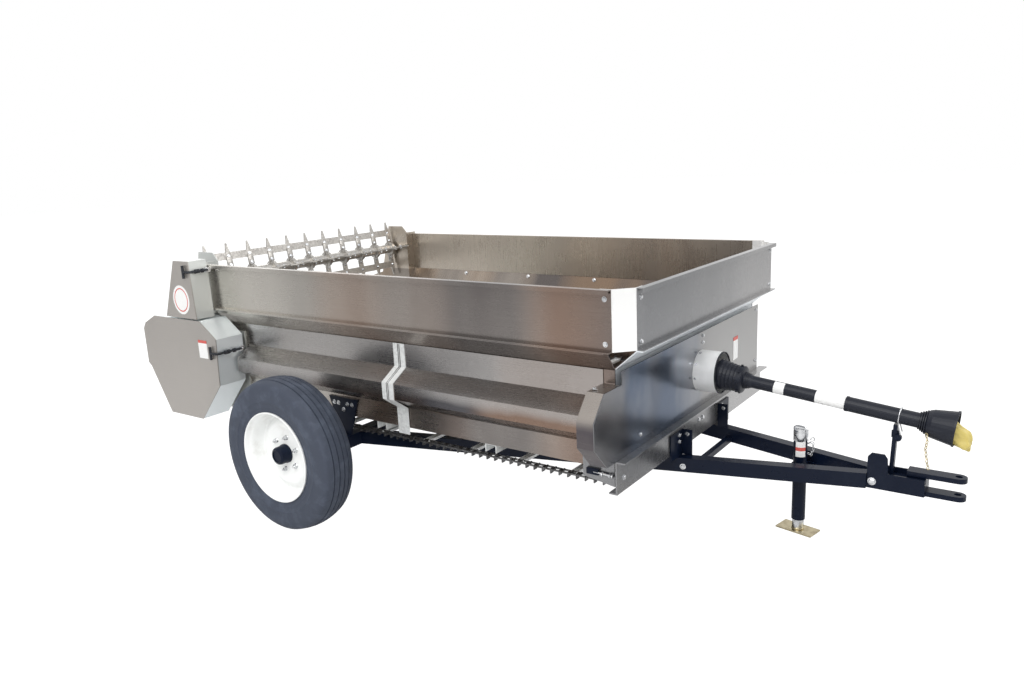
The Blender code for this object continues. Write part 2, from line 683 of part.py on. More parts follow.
# ---- power take-off ----
def pto():
    """Drive line: can on the panel, the guard's rear cone and tube, and its sliding front half."""
    pivot = Vector((fx(PTO_PIVOT), 0, PTO_HEIGHT))
    along = Vector((math.cos(PTO_DROP), 0, -math.sin(PTO_DROP)))
    end = YOKE_TIP[1]
    solid("pto_can", "stainless", lambda bm: turned(
        bm, [(0.091, 0.0005), (0.094, 0.0005), (0.094, 0.105), (0.091, 0.105)],
        (fx(0), 0, PTO_HEIGHT + 0.005), (1, 0, 0), 48))
    solid("pto_input_shaft", "steel", lambda bm: turned(
        bm, [(0, GAP), (0.030, GAP), (0.030, 0.012), (0.015, 0.012), (0.015, 0.0495),
             (0, 0.0495)], (fx(0), 0, PTO_HEIGHT), (1, 0, 0), 24))
    rear = [
        (0, -0.010), (0.010, -0.009), (0.040, 0.000), (0.068, 0.030), (0.068, 0.040), (0.055, 0.120),
        (0.055, 0.145), (0.036, 0.150), (0.030, 0.175), (0.027, 0.185), (0.027, end - 0.290),
        (0, end - 0.290)]
    solid("pto_guard_rear", "black_plastic", lambda bm: turned(bm, rear, pivot, along, 32), pivot)
    front = [
        (0.0275, end - 0.475), (0.0305, end - 0.475), (0.0305, end - 0.190), (0.034, end - 0.180),
        (0.050, end - 0.165), (0.056, end - 0.150), (0.069, end - 0.065), (0.066, end - 0.065),
        (0.050, end - 0.145), (0, end - 0.145), (0, end - 0.180), (0.0275, end - 0.180)]
    start = pivot + along * (end - 0.475)
    solid("pto_guard_front", "black_plastic", lambda bm: turned(bm, front, pivot, along, 32), start)
    yoke = [
        (0, end - 0.1445), (0.030, end - 0.1445), (0.034, end - 0.090), (0.040, end - 0.050),
        (0.036, end - 0.010), YOKE_TIP, (0, end)]
    solid("pto_yoke", "yellow_plastic", lambda bm: turned(bm, yoke, pivot, along, 24), start)
    foot_x, head_x = TONGUE_REACH - 0.272, TONGUE_REACH - 0.264
    axis_z = PTO_HEIGHT - math.tan(PTO_DROP) * (head_x - PTO_PIVOT)
    cradle_z = axis_z - 0.0305 / math.cos(PTO_DROP) - 0.006
    post = [
        (fx(foot_x - 0.008), RAIL_TOP - 0.0135), (fx(foot_x + 0.008), RAIL_TOP - 0.0135),
        (fx(head_x + 0.008), cradle_z), (fx(head_x - 0.008), cradle_z)]
    extruded("pto_stand", "black_paint", post, "Y", -0.014, 0.014)


def build():
    """Model every piece."""
    for item in list(bpy.data.objects):
        bpy.data.objects.remove(item)
    tub()
    sideboards()
    front()
    shields()
    rear_plates()
    beater()
    covers()
    apron()
    floor_cross_members()
    running_gear()
    wheels()
    drawbar()
    hitch()
    jack()
    pto()


build()
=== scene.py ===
"""Looks of a towed manure spreader: finishes, fasteners, tyres, chains, latches, drive guard.

Metres, +Z up, +X towards the tractor. Lengths along the machine are measured from the front face
of its front cross member.
"""
from math import copysign, cos, pi, radians, sin
import json

import bmesh
import bpy
from bpy.props import FloatProperty, FloatVectorProperty, IntProperty, PointerProperty
from mathutils import Matrix, Vector


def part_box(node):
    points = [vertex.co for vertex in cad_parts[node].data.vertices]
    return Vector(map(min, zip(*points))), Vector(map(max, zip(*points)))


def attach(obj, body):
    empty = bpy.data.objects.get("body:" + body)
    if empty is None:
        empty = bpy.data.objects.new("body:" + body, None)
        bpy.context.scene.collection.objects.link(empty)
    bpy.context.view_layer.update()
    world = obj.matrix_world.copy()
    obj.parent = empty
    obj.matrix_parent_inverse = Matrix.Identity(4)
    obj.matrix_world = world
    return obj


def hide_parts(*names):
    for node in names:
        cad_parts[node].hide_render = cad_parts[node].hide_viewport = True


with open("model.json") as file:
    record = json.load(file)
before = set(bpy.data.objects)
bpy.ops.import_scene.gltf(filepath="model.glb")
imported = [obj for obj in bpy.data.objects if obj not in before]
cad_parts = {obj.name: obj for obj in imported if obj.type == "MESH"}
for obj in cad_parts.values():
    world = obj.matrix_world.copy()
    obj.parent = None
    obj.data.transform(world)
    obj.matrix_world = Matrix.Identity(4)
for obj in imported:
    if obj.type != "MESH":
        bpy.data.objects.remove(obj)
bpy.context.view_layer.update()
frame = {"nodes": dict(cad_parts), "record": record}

bl_info = {
    "name": "Manure Spreader Looks",
    "version": (1, 0, 0),
    "blender": (4, 5, 0),
    "location": "View3D > Sidebar > Spreader",
    "description": "Finishes and fine parts of a towed stainless manure spreader",
    "category": "Object",
}

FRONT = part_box("drive_panel")[1][0]
NEAR, FAR = -1, 1
UP = Vector((0, 0, 1))


def at(distance, y, z):
    """A point at a distance ahead of the front cross member's face."""
    return Vector((FRONT + distance, y, z))


def middle(node):
    """The middle of a CAD node's box."""
    low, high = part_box(node)
    return (Vector(low) + Vector(high)) / 2


# ---- shader arithmetic ----
class Socket:
    """An output of a node tree that can be used in arithmetic."""

    def __init__(self, graph, output):
        self.graph = graph
        self.output = output

    def __add__(self, other):
        return self.graph.math("ADD", self, other)

    __radd__ = __add__

    def __sub__(self, other):
        return self.graph.math("SUBTRACT", self, other)

    def __rsub__(self, other):
        return self.graph.math("SUBTRACT", other, self)

    def __mul__(self, other):
        return self.graph.math("MULTIPLY", self, other)

    __rmul__ = __mul__

    def clamped(self):
        """The value held between 0 and 1."""
        return self.graph.math("ADD", self, 0.0, use_clamp=True)


class Nodes:
    """A node tree to build in."""

    def __init__(self, tree):
        self.tree = tree

    def node(self, kind, settings, sockets):
        """A node of that type, with its settings made first and then its inputs."""
        node = self.tree.nodes.new(kind)
        for key, value in settings.items():
            setattr(node, key, value)
        for key, value in sockets.items():
            if isinstance(value, Socket):
                self.tree.links.new(value.output, node.inputs[key])
            else:
                node.inputs[key].default_value = value
        return node

    def value(self, kind, settings, sockets, output=0):
        """One output of such a node."""
        return Socket(self, self.node(kind, settings, sockets).outputs[output])

    def math(self, operation, a, b, **settings):
        return self.value("ShaderNodeMath", {"operation": operation, **settings}, {0: a, 1: b})


class Graph(Nodes):
    """The nodes of one material."""

    def __init__(self, name, colour, roughness, metallic=0.0, **fixed):
        self.material = bpy.data.materials.new(name)
        self.material.use_nodes = True
        self.material.diffuse_color = (*colour, 1.0)
        super().__init__(self.material.node_tree)
        self.shader = self.tree.nodes["Principled BSDF"]
        self.shader.inputs["Base Color"].default_value = (*colour, 1.0)
        self.shader.inputs["Roughness"].default_value = roughness
        self.shader.inputs["Metallic"].default_value = metallic
        for socket, value in fixed.items():
            self.shader.inputs[socket.replace("_", " ")].default_value = value

    def coords(self, scale=(1, 1, 1), shift=(0, 0, 0)):
        """Object coordinates, stretched and shifted."""
        source = self.value("ShaderNodeTexCoord", {}, {}, "Object")
        return self.value("ShaderNodeMapping", {}, {
            "Vector": source, "Scale": scale, "Location": shift})

    def axis(self, index):
        """One object coordinate as a number."""
        return self.value("ShaderNodeSeparateXYZ", {}, {0: self.coords()}, index)

    def noise(self, vector, scale, detail=2.0, roughness=0.5):
        return self.value("ShaderNodeTexNoise", {}, {
            "Vector": vector, "Scale": scale, "Detail": detail, "Roughness": roughness})

    def cloud(self, size, detail=5.0, roughness=0.6):
        """Soft patches, that many to the metre."""
        return self.noise(self.coords((size, size, size)), 1.0, detail, roughness)

    def between(self, value, low, high):
        """0 below low and 1 above high, with a smooth change."""
        return self.value("ShaderNodeMapRange", {"interpolation_type": "SMOOTHSTEP"}, {
            "Value": value, "From Min": low, "From Max": high})

    def mix(self, factor, a, b):
        """Colour a at factor 0, colour b at 1."""
        a, b = [c if isinstance(c, Socket) else (*c, 1.0) for c in (a, b)]
        return self.value("ShaderNodeMix", {"data_type": "RGBA"}, {0: factor, 6: a, 7: b}, 2)

    def feed(self, value, socket):
        """Link a value to an input of the shader."""
        self.tree.links.new(value.output, self.shader.inputs[socket])

    def colour(self, value):
        self.feed(value, "Base Color")

    def roughness(self, value):
        self.feed(value, "Roughness")

    def bump(self, height, distance, strength=1.0):
        """Raise the surface by a height between 0 and 1 times a distance."""
        self.feed(self.value("ShaderNodeBump", {}, {
            "Height": height, "Distance": distance, "Strength": strength}), "Normal")


# ---- finishes ----
def sheet_metal(name, pale, dark, grain, bands, fades=(), rough=0.3, depth=0.42, metal=1.0,
                warm=None, sides=None):
    """Brushed stainless sheet: fine grain lines, wide soft bands of painted reflection and a slow
    painted change from lit to shaded tone.

    Each of `fades` is (axis, start, end, weight) of a painted change from pale to dark that stands
    for reflection and shade, `depth` the weight of the painted reflection bands, `warm` a second dark
    tone, a painted copper reflection that comes and goes along the sheet, and `sides` is (axis,
    start, end, colour) of a painted highlight, a change to a lighter tone on the folded sides.
    """
    g = Graph(name, pale, rough, metal)
    # Wide noise bands: painted reflection of the surroundings on the sheet.
    reflection_bands = g.noise(g.coords(bands), 1.0, 3.0, 0.55)
    tone = g.between(reflection_bands, 0.34, 0.68) * depth
    # Each fade is painted shade and reflection: the sheet turns from pale to dark along one axis.
    for index, start, end, weight in fades:
        shade = g.between(g.axis(index), start, end)
        tone = (tone * (0.35 + shade * 0.65) + shade * weight).clamped()
    lines = g.noise(g.coords(grain), 1.0, 4.0, 0.62)
    smudge = g.cloud(7)
    tone = (tone + (lines - 0.5) * 0.16 + (smudge - 0.5) * 0.1).clamped()
    deep = dark
    # The warm tone is a painted copper reflection that comes and goes in the dark parts.
    if warm:
        drift = g.noise(g.coords([b * 0.8 for b in bands], (4.0, 2.0, 7.0)), 1.0, 1.0)
        deep = g.mix(g.between(drift, 0.42, 0.62), dark, warm)
    colour = g.mix(tone, pale, deep)
    # The sides colour is a painted highlight on the folded sides past a plane.
    if sides:
        index, start, end, lit = sides
        colour = g.mix(g.between(g.axis(index), start, end), colour, lit)
    g.colour(colour)
    g.roughness(rough + (lines - 0.5) * 0.14 + (smudge - 0.5) * 0.16)
    g.bump(lines, 0.00012, 0.5)


def galvanised(name, pale, dark, rough=0.42, spangle=95.0, metal=1.0):
    """Zinc-coated steel with its crystal pattern."""
    g = Graph(name, pale, rough, metal)
    crystals = g.value("ShaderNodeTexVoronoi", {}, {"Vector": g.coords(), "Scale": spangle}, "Color")
    grey = g.value("ShaderNodeSeparateColor", {}, {0: crystals})
    streak = g.cloud(9)
    g.colour(g.mix((grey * 0.45 + streak * 0.5).clamped(), pale, dark))
    g.roughness(rough + (grey - 0.5) * 0.16)
    g.bump(streak, 0.0002, 0.4)


def black_paint(name, colour, patch_grey):
    """Powder coat with a faint orange peel, dust and a few rubbed spots."""
    g = Graph(name, colour, 0.34, Specular_IOR_Level=0.16)
    dust = g.cloud(5, 6.0, 0.65)
    rub = g.cloud(60, 3.0)
    mask = (g.between(dust, 0.5, 0.82) * 0.2 + g.between(rub, 0.68, 0.82) * 0.14).clamped()
    g.colour(g.mix(mask, colour, patch_grey))
    g.roughness(0.3 + (dust - 0.5) * 0.22)
    g.bump(g.noise(g.coords(), 520.0, 2.0), 0.0001, 0.6)


def white_paint(name, colour, stain):
    """Sprayed white wheel enamel with a little grime in soft patches."""
    g = Graph(name, colour, 0.34)
    cloud = g.cloud(11)
    g.colour(g.mix(g.between(cloud, 0.5, 0.78) * 0.45, colour, stain))
    g.roughness(0.3 + cloud * 0.14)
    g.bump(g.noise(g.coords(), 260.0, 2.0), 0.00012, 0.5)


def rubber(name, colour, patch_grey):
    """Tyre rubber with grey-blue patches, partly dust and partly a painted sheen."""
    g = Graph(name, colour, 0.78, Specular_IOR_Level=0.35)
    cloud = g.cloud(14, 5.0, 0.62)
    fine = g.noise(g.coords(), 700.0, 3.0)
    # The grey-blue patch colour is partly dust and partly painted sheen on the rubber.
    g.colour(g.mix((g.between(cloud, 0.42, 0.75) * 0.55 + fine * 0.12).clamped(), colour, patch_grey))
    g.roughness(0.7 + (fine - 0.5) * 0.2)
    g.bump(fine, 0.0003, 0.5)


def plastic(name, colour, scuffed, rough=0.42):
    """Moulded plastic with long scuffs."""
    g = Graph(name, colour, rough, Specular_IOR_Level=0.28)
    scuff = g.noise(g.coords((6, 40, 40)), 1.0, 5.0, 0.6)
    g.colour(g.mix(g.between(scuff, 0.5, 0.78) * 0.5, colour, scuffed))
    g.roughness(rough + (scuff - 0.5) * 0.2)
    g.bump(g.noise(g.coords(), 380.0, 2.0), 0.00015, 0.5)


def plated(name, pale, dark, rough=0.28):
    """Plated or bare steel of small parts."""
    g = Graph(name, pale, rough, 1.0)
    cloud = g.cloud(38)
    g.colour(g.mix(g.between(cloud, 0.35, 0.75), pale, dark))
    g.roughness(rough + (cloud - 0.5) * 0.24)
    g.bump(cloud, 0.0001, 0.4)


def printed(name, colour, worn):
    """Vinyl label stock."""
    g = Graph(name, colour, 0.36)
    cloud = g.cloud(90, 4.0)
    g.colour(g.mix(g.between(cloud, 0.5, 0.8) * 0.4, colour, worn))
    g.roughness(0.32 + cloud * 0.1)


def added(name, data):
    """A new object in the scene."""
    item = bpy.data.objects.new(name, data)
    bpy.context.scene.collection.objects.link(item)
    return item


def piece(name, bm, material="plated steel", body="chassis", smooth=35.0, replaces=()):
    """Put a finished bmesh in the scene as one piece that rides on a body."""
    bmesh.ops.remove_doubles(bm, verts=bm.verts, dist=0.000005)
    bmesh.ops.recalc_face_normals(bm, faces=bm.faces)
    mesh = bpy.data.meshes.new(name)
    bm.to_mesh(mesh)
    bm.free()
    mesh.shade_smooth()
    mesh.set_sharp_from_angle(angle=radians(smooth))
    mesh.materials.append(bpy.data.materials[material])
    item = added(name, mesh)
    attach(item, body)
    if replaces:
        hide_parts(*replaces)
    return item


def facing(axis):
    """Rotation that turns +Z to an axis."""
    return UP.rotation_difference(Vector(axis).normalized()).to_matrix().to_4x4()


def placed(bm, verts, matrix):
    bmesh.ops.transform(bm, verts=verts, matrix=matrix)


def slab(bm, size, centre, turn=Matrix(), edge=0.0):
    """A block of that size with its edges rounded."""
    made = bmesh.ops.create_cube(bm, size=1.0)["verts"]
    placed(bm, made, Matrix.Diagonal((*size, 1.0)))
    if edge:
        edges = list({e for v in made for e in v.link_edges})
        cut = bmesh.ops.bevel(
            bm, geom=edges, offset=edge, affect="EDGES", segments=2, profile=0.5, material=-1)
        made = list(linked({v for f in cut["faces"] for v in f.verts}))
    placed(bm, made, Matrix.Translation(centre) @ turn)
    return made


def linked(verts):
    """All vertices joined to the given ones."""
    seen, queue = set(verts), list(verts)
    while queue:
        vert = queue.pop()
        for edge in vert.link_edges:
            other = edge.other_vert(vert)
            if other not in seen:
                seen.add(other)
                queue.append(other)
    return seen


def disc(bm, radius, height, base, axis, sides=20, top=None):
    """A closed cylinder or cone standing on a base point along an axis."""
    made = bmesh.ops.create_cone(
        bm, cap_ends=True, segments=sides, radius1=radius, depth=height,
        radius2=radius if top is None else top)["verts"]
    placed(bm, made, Matrix.Translation(base) @ facing(axis) @ Matrix.Translation((0, 0, height / 2)))
    return made


def lathe(bm, profile, base, axis, steps=48):
    """Spin a closed (radius, height) outline about an axis through the base point."""
    turn = Matrix.Translation(base) @ facing(axis)
    verts = [bm.verts.new(turn @ Vector((r, 0, h))) for r, h in profile]
    edges = [bm.edges.new(pair) for pair in zip(verts, verts[1:] + verts[:1])]
    bmesh.ops.spin(
        bm, geom=verts + edges, cent=base, axis=Vector(axis).normalized(), angle=2 * pi,
        steps=steps, use_merge=True)


def band(inner, outer, start, end):
    """The outline of a ring with a square section."""
    return [(inner, start), (outer, start), (outer, end), (inner, end)]


def turned(name, outline, base, axis, steps, *finish):
    """A piece made of one lathed outline."""
    bm = bmesh.new()
    lathe(bm, outline, base, axis, steps)
    piece(name, bm, *finish)


def bolt(bm, base, axis, size=0.0065, tall=0.005, washer=True, spin=0.3):
    """Hex head with a washer, standing on a surface."""
    axis = Vector(axis).normalized()
    base = Vector(base)
    if washer:
        disc(bm, size * 1.35, 0.0014, base, axis, 16)
        base = base + axis * 0.0014
    made = bmesh.ops.create_cone(
        bm, cap_ends=True, segments=6, radius1=size, radius2=size, depth=tall)["verts"]
    rim = [e for v in made for e in v.link_edges if all(w.co.z > 0 for w in e.verts)]
    cut = bmesh.ops.bevel(
        bm, geom=list(set(rim)), offset=size * 0.14, affect="EDGES", segments=1, profile=0.5,
        material=-1)
    made = list(linked(set(made) & set(bm.verts) | {v for f in cut["faces"] for v in f.verts}))
    placed(bm, made, Matrix.Translation(base) @ facing(axis)
           @ Matrix.Rotation(spin, 4, "Z") @ Matrix.Translation((0, 0, tall / 2)))


def tube(bm, points, radius, sides=8, closed=False):
    """Sweep a round section along points."""
    points = [Vector(p) for p in points]
    count = len(points)
    rings = []
    normal = None
    for i, point in enumerate(points):
        before = points[i - 1] if i or closed else point
        after = points[(i + 1) % count] if i < count - 1 or closed else point
        along = (after - before).normalized()
        if normal is None:
            normal = along.orthogonal().normalized()
        normal = (normal - along * normal.dot(along)).normalized()
        side = along.cross(normal)
        rings.append([bm.verts.new(
            point + radius * (cos(a) * normal + sin(a) * side))
            for a in (2 * pi * k / sides for k in range(sides))])
    loops = [[bm.edges.new((ring[k], ring[(k + 1) % sides])) for k in range(sides)]
             for ring in rings]
    for i in range(count if closed else count - 1):
        bmesh.ops.bridge_loops(bm, edges=loops[i] + loops[(i + 1) % count])
    if not closed:
        bm.faces.new(rings[0])
        bm.faces.new(rings[-1])


def arc(centre, radius, start, end, steps, across=Vector((1, 0, 0)), up=UP):
    """Points of an arc in the plane of two directions, angles in degrees."""
    centre = Vector(centre)
    out = []
    for i in range(steps + 1):
        a = radians(start + (end - start) * i / steps)
        out.append(centre + radius * (cos(a) * across + sin(a) * up))
    return out


def chain(bm, path, pitch, wire, wide):
    """Welded oval links, each turned a quarter from the last, along a path."""
    points = [Vector(p) for p in path]
    lengths = [0.0]
    for a, b in zip(points, points[1:]):
        lengths.append(lengths[-1] + (b - a).length)
    count = int(lengths[-1] / pitch)
    for i in range(count):
        target = (i + 0.5) * lengths[-1] / count
        k = max(j for j in range(len(points) - 1) if lengths[j] <= target)
        part = (target - lengths[k]) / (lengths[k + 1] - lengths[k])
        centre = points[k].lerp(points[k + 1], part)
        along = (points[k + 1] - points[k]).normalized()
        side = along.orthogonal().normalized()
        if i % 2:
            side = along.cross(side)
        half = pitch / 2 + wire * 0.6
        link = []
        for step in range(10):
            a = 2 * pi * step / 10
            link.append(centre + along * half * cos(a) + side * wide * sin(a))
        tube(bm, link, wire, 5, closed=True)


# ---- settings ----
class SpreaderSizes(bpy.types.PropertyGroup):
    """Sizes of the fine parts."""

    groove_depth: FloatProperty(
        name="Groove Depth", description="Depth of the tread grooves", default=0.007,
        unit="LENGTH")
    rib_count: IntProperty(name="Ribs", description="Ribs across the tread", default=5, min=3)
    stud_circle: FloatProperty(
        name="Stud Circle", description="Radius of the wheel stud circle", default=0.08,
        unit="LENGTH")
    stud_count: IntProperty(name="Studs", description="Wheel studs", default=6, min=4)
    link_pitch: FloatProperty(
        name="Link Pitch", description="Pitch of the apron chain", default=0.042, unit="LENGTH")
    slat_count: IntProperty(name="Slats", description="Slats on each apron run", default=9, min=2)


def swatch(name, description, default):
    """A colour that can be set."""
    return FloatVectorProperty(
        name=name, description=description, subtype="COLOR", size=3, default=default)


class SpreaderColours(bpy.types.PropertyGroup):
    """Main colours of the finishes."""

    # Pale and dark steel are the ends of the painted reflection and painted shade on the stainless
    # sheet.
    steel_pale: swatch("Pale Steel", "Bright tone of the box's near side", (0.64, 0.61, 0.56))
    steel_dark: swatch("Dark Steel", "Dark tone of the stainless sheet", (0.16, 0.145, 0.14))
    paint: swatch("Black Paint", "Drawbar, hitch and jack", (0.0035, 0.007, 0.019))
    wheel: swatch("Wheel White", "Wheel enamel", (0.9, 0.91, 0.9))
    tyre: swatch("Tyre", "Tyre rubber", (0.044, 0.053, 0.076))
    cover: swatch("Yellow Cover", "Cover on the drive shaft's end", (0.6, 0.49, 0.15))


def sizes():
    return bpy.context.scene.spreader_sizes


def colours():
    return bpy.context.scene.spreader_colours


# ---- operators ----
class SPREADER_OT_finishes(bpy.types.Operator):
    """Make every finish and give each frame part its own"""

    bl_idname = "spreader.finishes"
    bl_label = "Finishes"

    def execute(self, context):
        tone = colours()
        pale, dark = tuple(tone.steel_pale), tuple(tone.steel_dark)
        rear, _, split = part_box("sideboard_near")[0]
        lengthwise, upright = (3, 300, 420), (3, 3, 420)
        cover_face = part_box("gear_cover")[0][1]
        # Side steel darkens along x: painted reflection and shade, with a warm tone of painted copper
        # glints.
        sheet_metal("side steel", pale, dark, lengthwise, (1.5, 1.5, 0.1),
                    ((0, rear + 0.1, rear + 1.3, 0.74),), 0.28, 0.3, 0.92, (0.26, 0.18, 0.14))
        # The shield darkens along x and below z 0.668: painted reflection, and painted shade on the
        # faces under the fold.
        sheet_metal("shield steel", (0.39, 0.375, 0.365), (0.085, 0.083, 0.09), lengthwise,
                    (2.4, 2.0, 0.4), ((0, rear + 0.3, rear + 1.4, 0.54), (2, 0.668, 0.6, 0.45)),
                    0.27, 0.5, 0.95, (0.22, 0.15, 0.115))
        # Far steel darkens along x and below the box's split: painted reflection, and painted shade
        # under the lip.
        sheet_metal("far steel", (0.56, 0.5, 0.43), (0.125, 0.11, 0.105), (420, 3, 3),
                    (4.2, 1.0, 0.1),
                    ((0, rear + 0.7, rear + 1.5, 0.66), (2, split + 0.003, split - 0.003, 0.56)),
                    0.28, 0.62, 0.95, (0.24, 0.17, 0.12))
        # The drive panel turns to a dark blue-grey towards the near side: painted reflection.
        sheet_metal("panel steel", (0.37, 0.365, 0.36), (0.09, 0.118, 0.172), lengthwise,
                    (1.5, 3.2, 1.6), ((1, 0.4, -0.45, 0.72),), 0.22, 0.5, 0.92,
                    (0.118, 0.118, 0.128))
        # Front steel darkens towards the near side: painted reflection.
        sheet_metal("front steel", (0.43, 0.425, 0.425), (0.17, 0.175, 0.185), lengthwise,
                    (1.5, 1.8, 0.4), ((1, 0.9, -0.9, 0.4),), 0.28, 0.45, 0.85)
        # The flare under the lip is near white: a painted highlight on a shaded lip.
        sheet_metal("flare steel", (0.86, 0.9, 0.93), (0.5, 0.52, 0.55), lengthwise,
                    (1.5, 1.8, 0.4), (), 0.4, 0.45, 0.3)
        # Past the cover's near face each cover takes a lighter colour: a painted highlight on its top
        # and folded sides.
        for name, lit in (("cover steel", (0.63, 0.65, 0.63)), ("gear steel", (0.84, 0.89, 0.91))):
            sheet_metal(name, (0.42, 0.395, 0.37), (0.28, 0.265, 0.255), upright,
                        (1.6, 1.6, 1.0), (), 0.34, 0.5, 0.6, None,
                        (1, cover_face + 0.002, cover_face + 0.008, lit))
        # The end cap darkens below z 0.72: painted shade on its lower face.
        sheet_metal("cap steel", (0.32, 0.29, 0.265), (0.068, 0.06, 0.07), upright,
                    (3, 3, 3), ((2, 0.72, 0.66, 0.8),), 0.3, 0.3, 0.9)
        sheet_metal("bright steel", (0.96, 0.96, 0.95), (0.62, 0.62, 0.62), (300, 300, 3),
                    (8, 8, 3), (), 0.36, 0.4, 0.3)
        sheet_metal("corner steel", (0.97, 0.97, 0.96), (0.8, 0.8, 0.79), upright,
                    (3, 3, 2), (), 0.22, 0.3, 0.45)
        sheet_metal("floor steel", (0.29, 0.235, 0.2), dark, lengthwise, (2, 2, 2), (), 0.38)
        galvanised("zinc", (0.93, 0.95, 0.94), (0.6, 0.61, 0.61), 0.4, 95.0, 0.25)
        galvanised("beater zinc", (0.6, 0.58, 0.545), (0.3, 0.285, 0.27), 0.38, 110.0, 0.8)
        black_paint("black paint", tuple(tone.paint), (0.03, 0.038, 0.055))
        white_paint("wheel enamel", tuple(tone.wheel), (0.6, 0.59, 0.55))
        rubber("tyre rubber", tuple(tone.tyre), (0.093, 0.111, 0.152))
        rubber("latch rubber", (0.02, 0.022, 0.028), (0.045, 0.048, 0.055))
        plastic("black plastic", (0.01, 0.012, 0.02), (0.036, 0.041, 0.056))
        plastic("yellow plastic", tuple(tone.cover), (0.42, 0.36, 0.11), 0.36)
        plated("zinc gold", (0.52, 0.455, 0.3), (0.36, 0.3, 0.19), 0.32)
        plated("plated steel", (0.74, 0.75, 0.76), (0.42, 0.43, 0.45), 0.22)
        plated("chain gold", (0.72, 0.6, 0.33), (0.4, 0.33, 0.17), 0.3)
        plated("dark iron", (0.2, 0.2, 0.205), (0.075, 0.072, 0.07), 0.46)
        printed("label white", (0.86, 0.86, 0.85), (0.72, 0.72, 0.71))
        printed("label red", (0.62, 0.1, 0.08), (0.5, 0.09, 0.075))
        # A name that ends with _ stands for every node that begins with it.
        table = {
            "side steel": "sideboard_near tub_side_near side_panel_near",
            "panel steel": "drive_panel",
            "cap steel": "drive_end_cap",
            "corner steel": "corner_",
            "far steel": "sideboard_far tub_side_far rear_plate_far",
            "shield steel": "shield_rear shield_front",
            "front steel": "front_cross_member sideboard_front front_gusset_",
            "flare steel": "tub_front",
            "cover steel": "bearing_cover rear_plate_near",
            "gear steel": "gear_cover",
            "bright steel": "pto_can",
            "floor steel": "floor",
            "zinc": "shield_strap floor_member_",
            "beater zinc": "beater_",
            "black paint": "axle hub_ rail_ hitch_head jack_mount jack_tube pto_stand",
            "wheel enamel": "rim_",
            "tyre rubber": "tyre_",
            "black plastic": "pto_guard_",
            "yellow plastic": "pto_yoke",
            "zinc gold": "jack_leg",
            "plated steel": "pto_input_shaft",
            "dark iron": "apron_",
        }
        for finish, names in table.items():
            for name in names.split():
                for node, item in frame["nodes"].items():
                    if node == name or name.endswith("_") and node.startswith(name):
                        item.data.materials.clear()
                        item.data.materials.append(bpy.data.materials[finish])
        return {"FINISHED"}


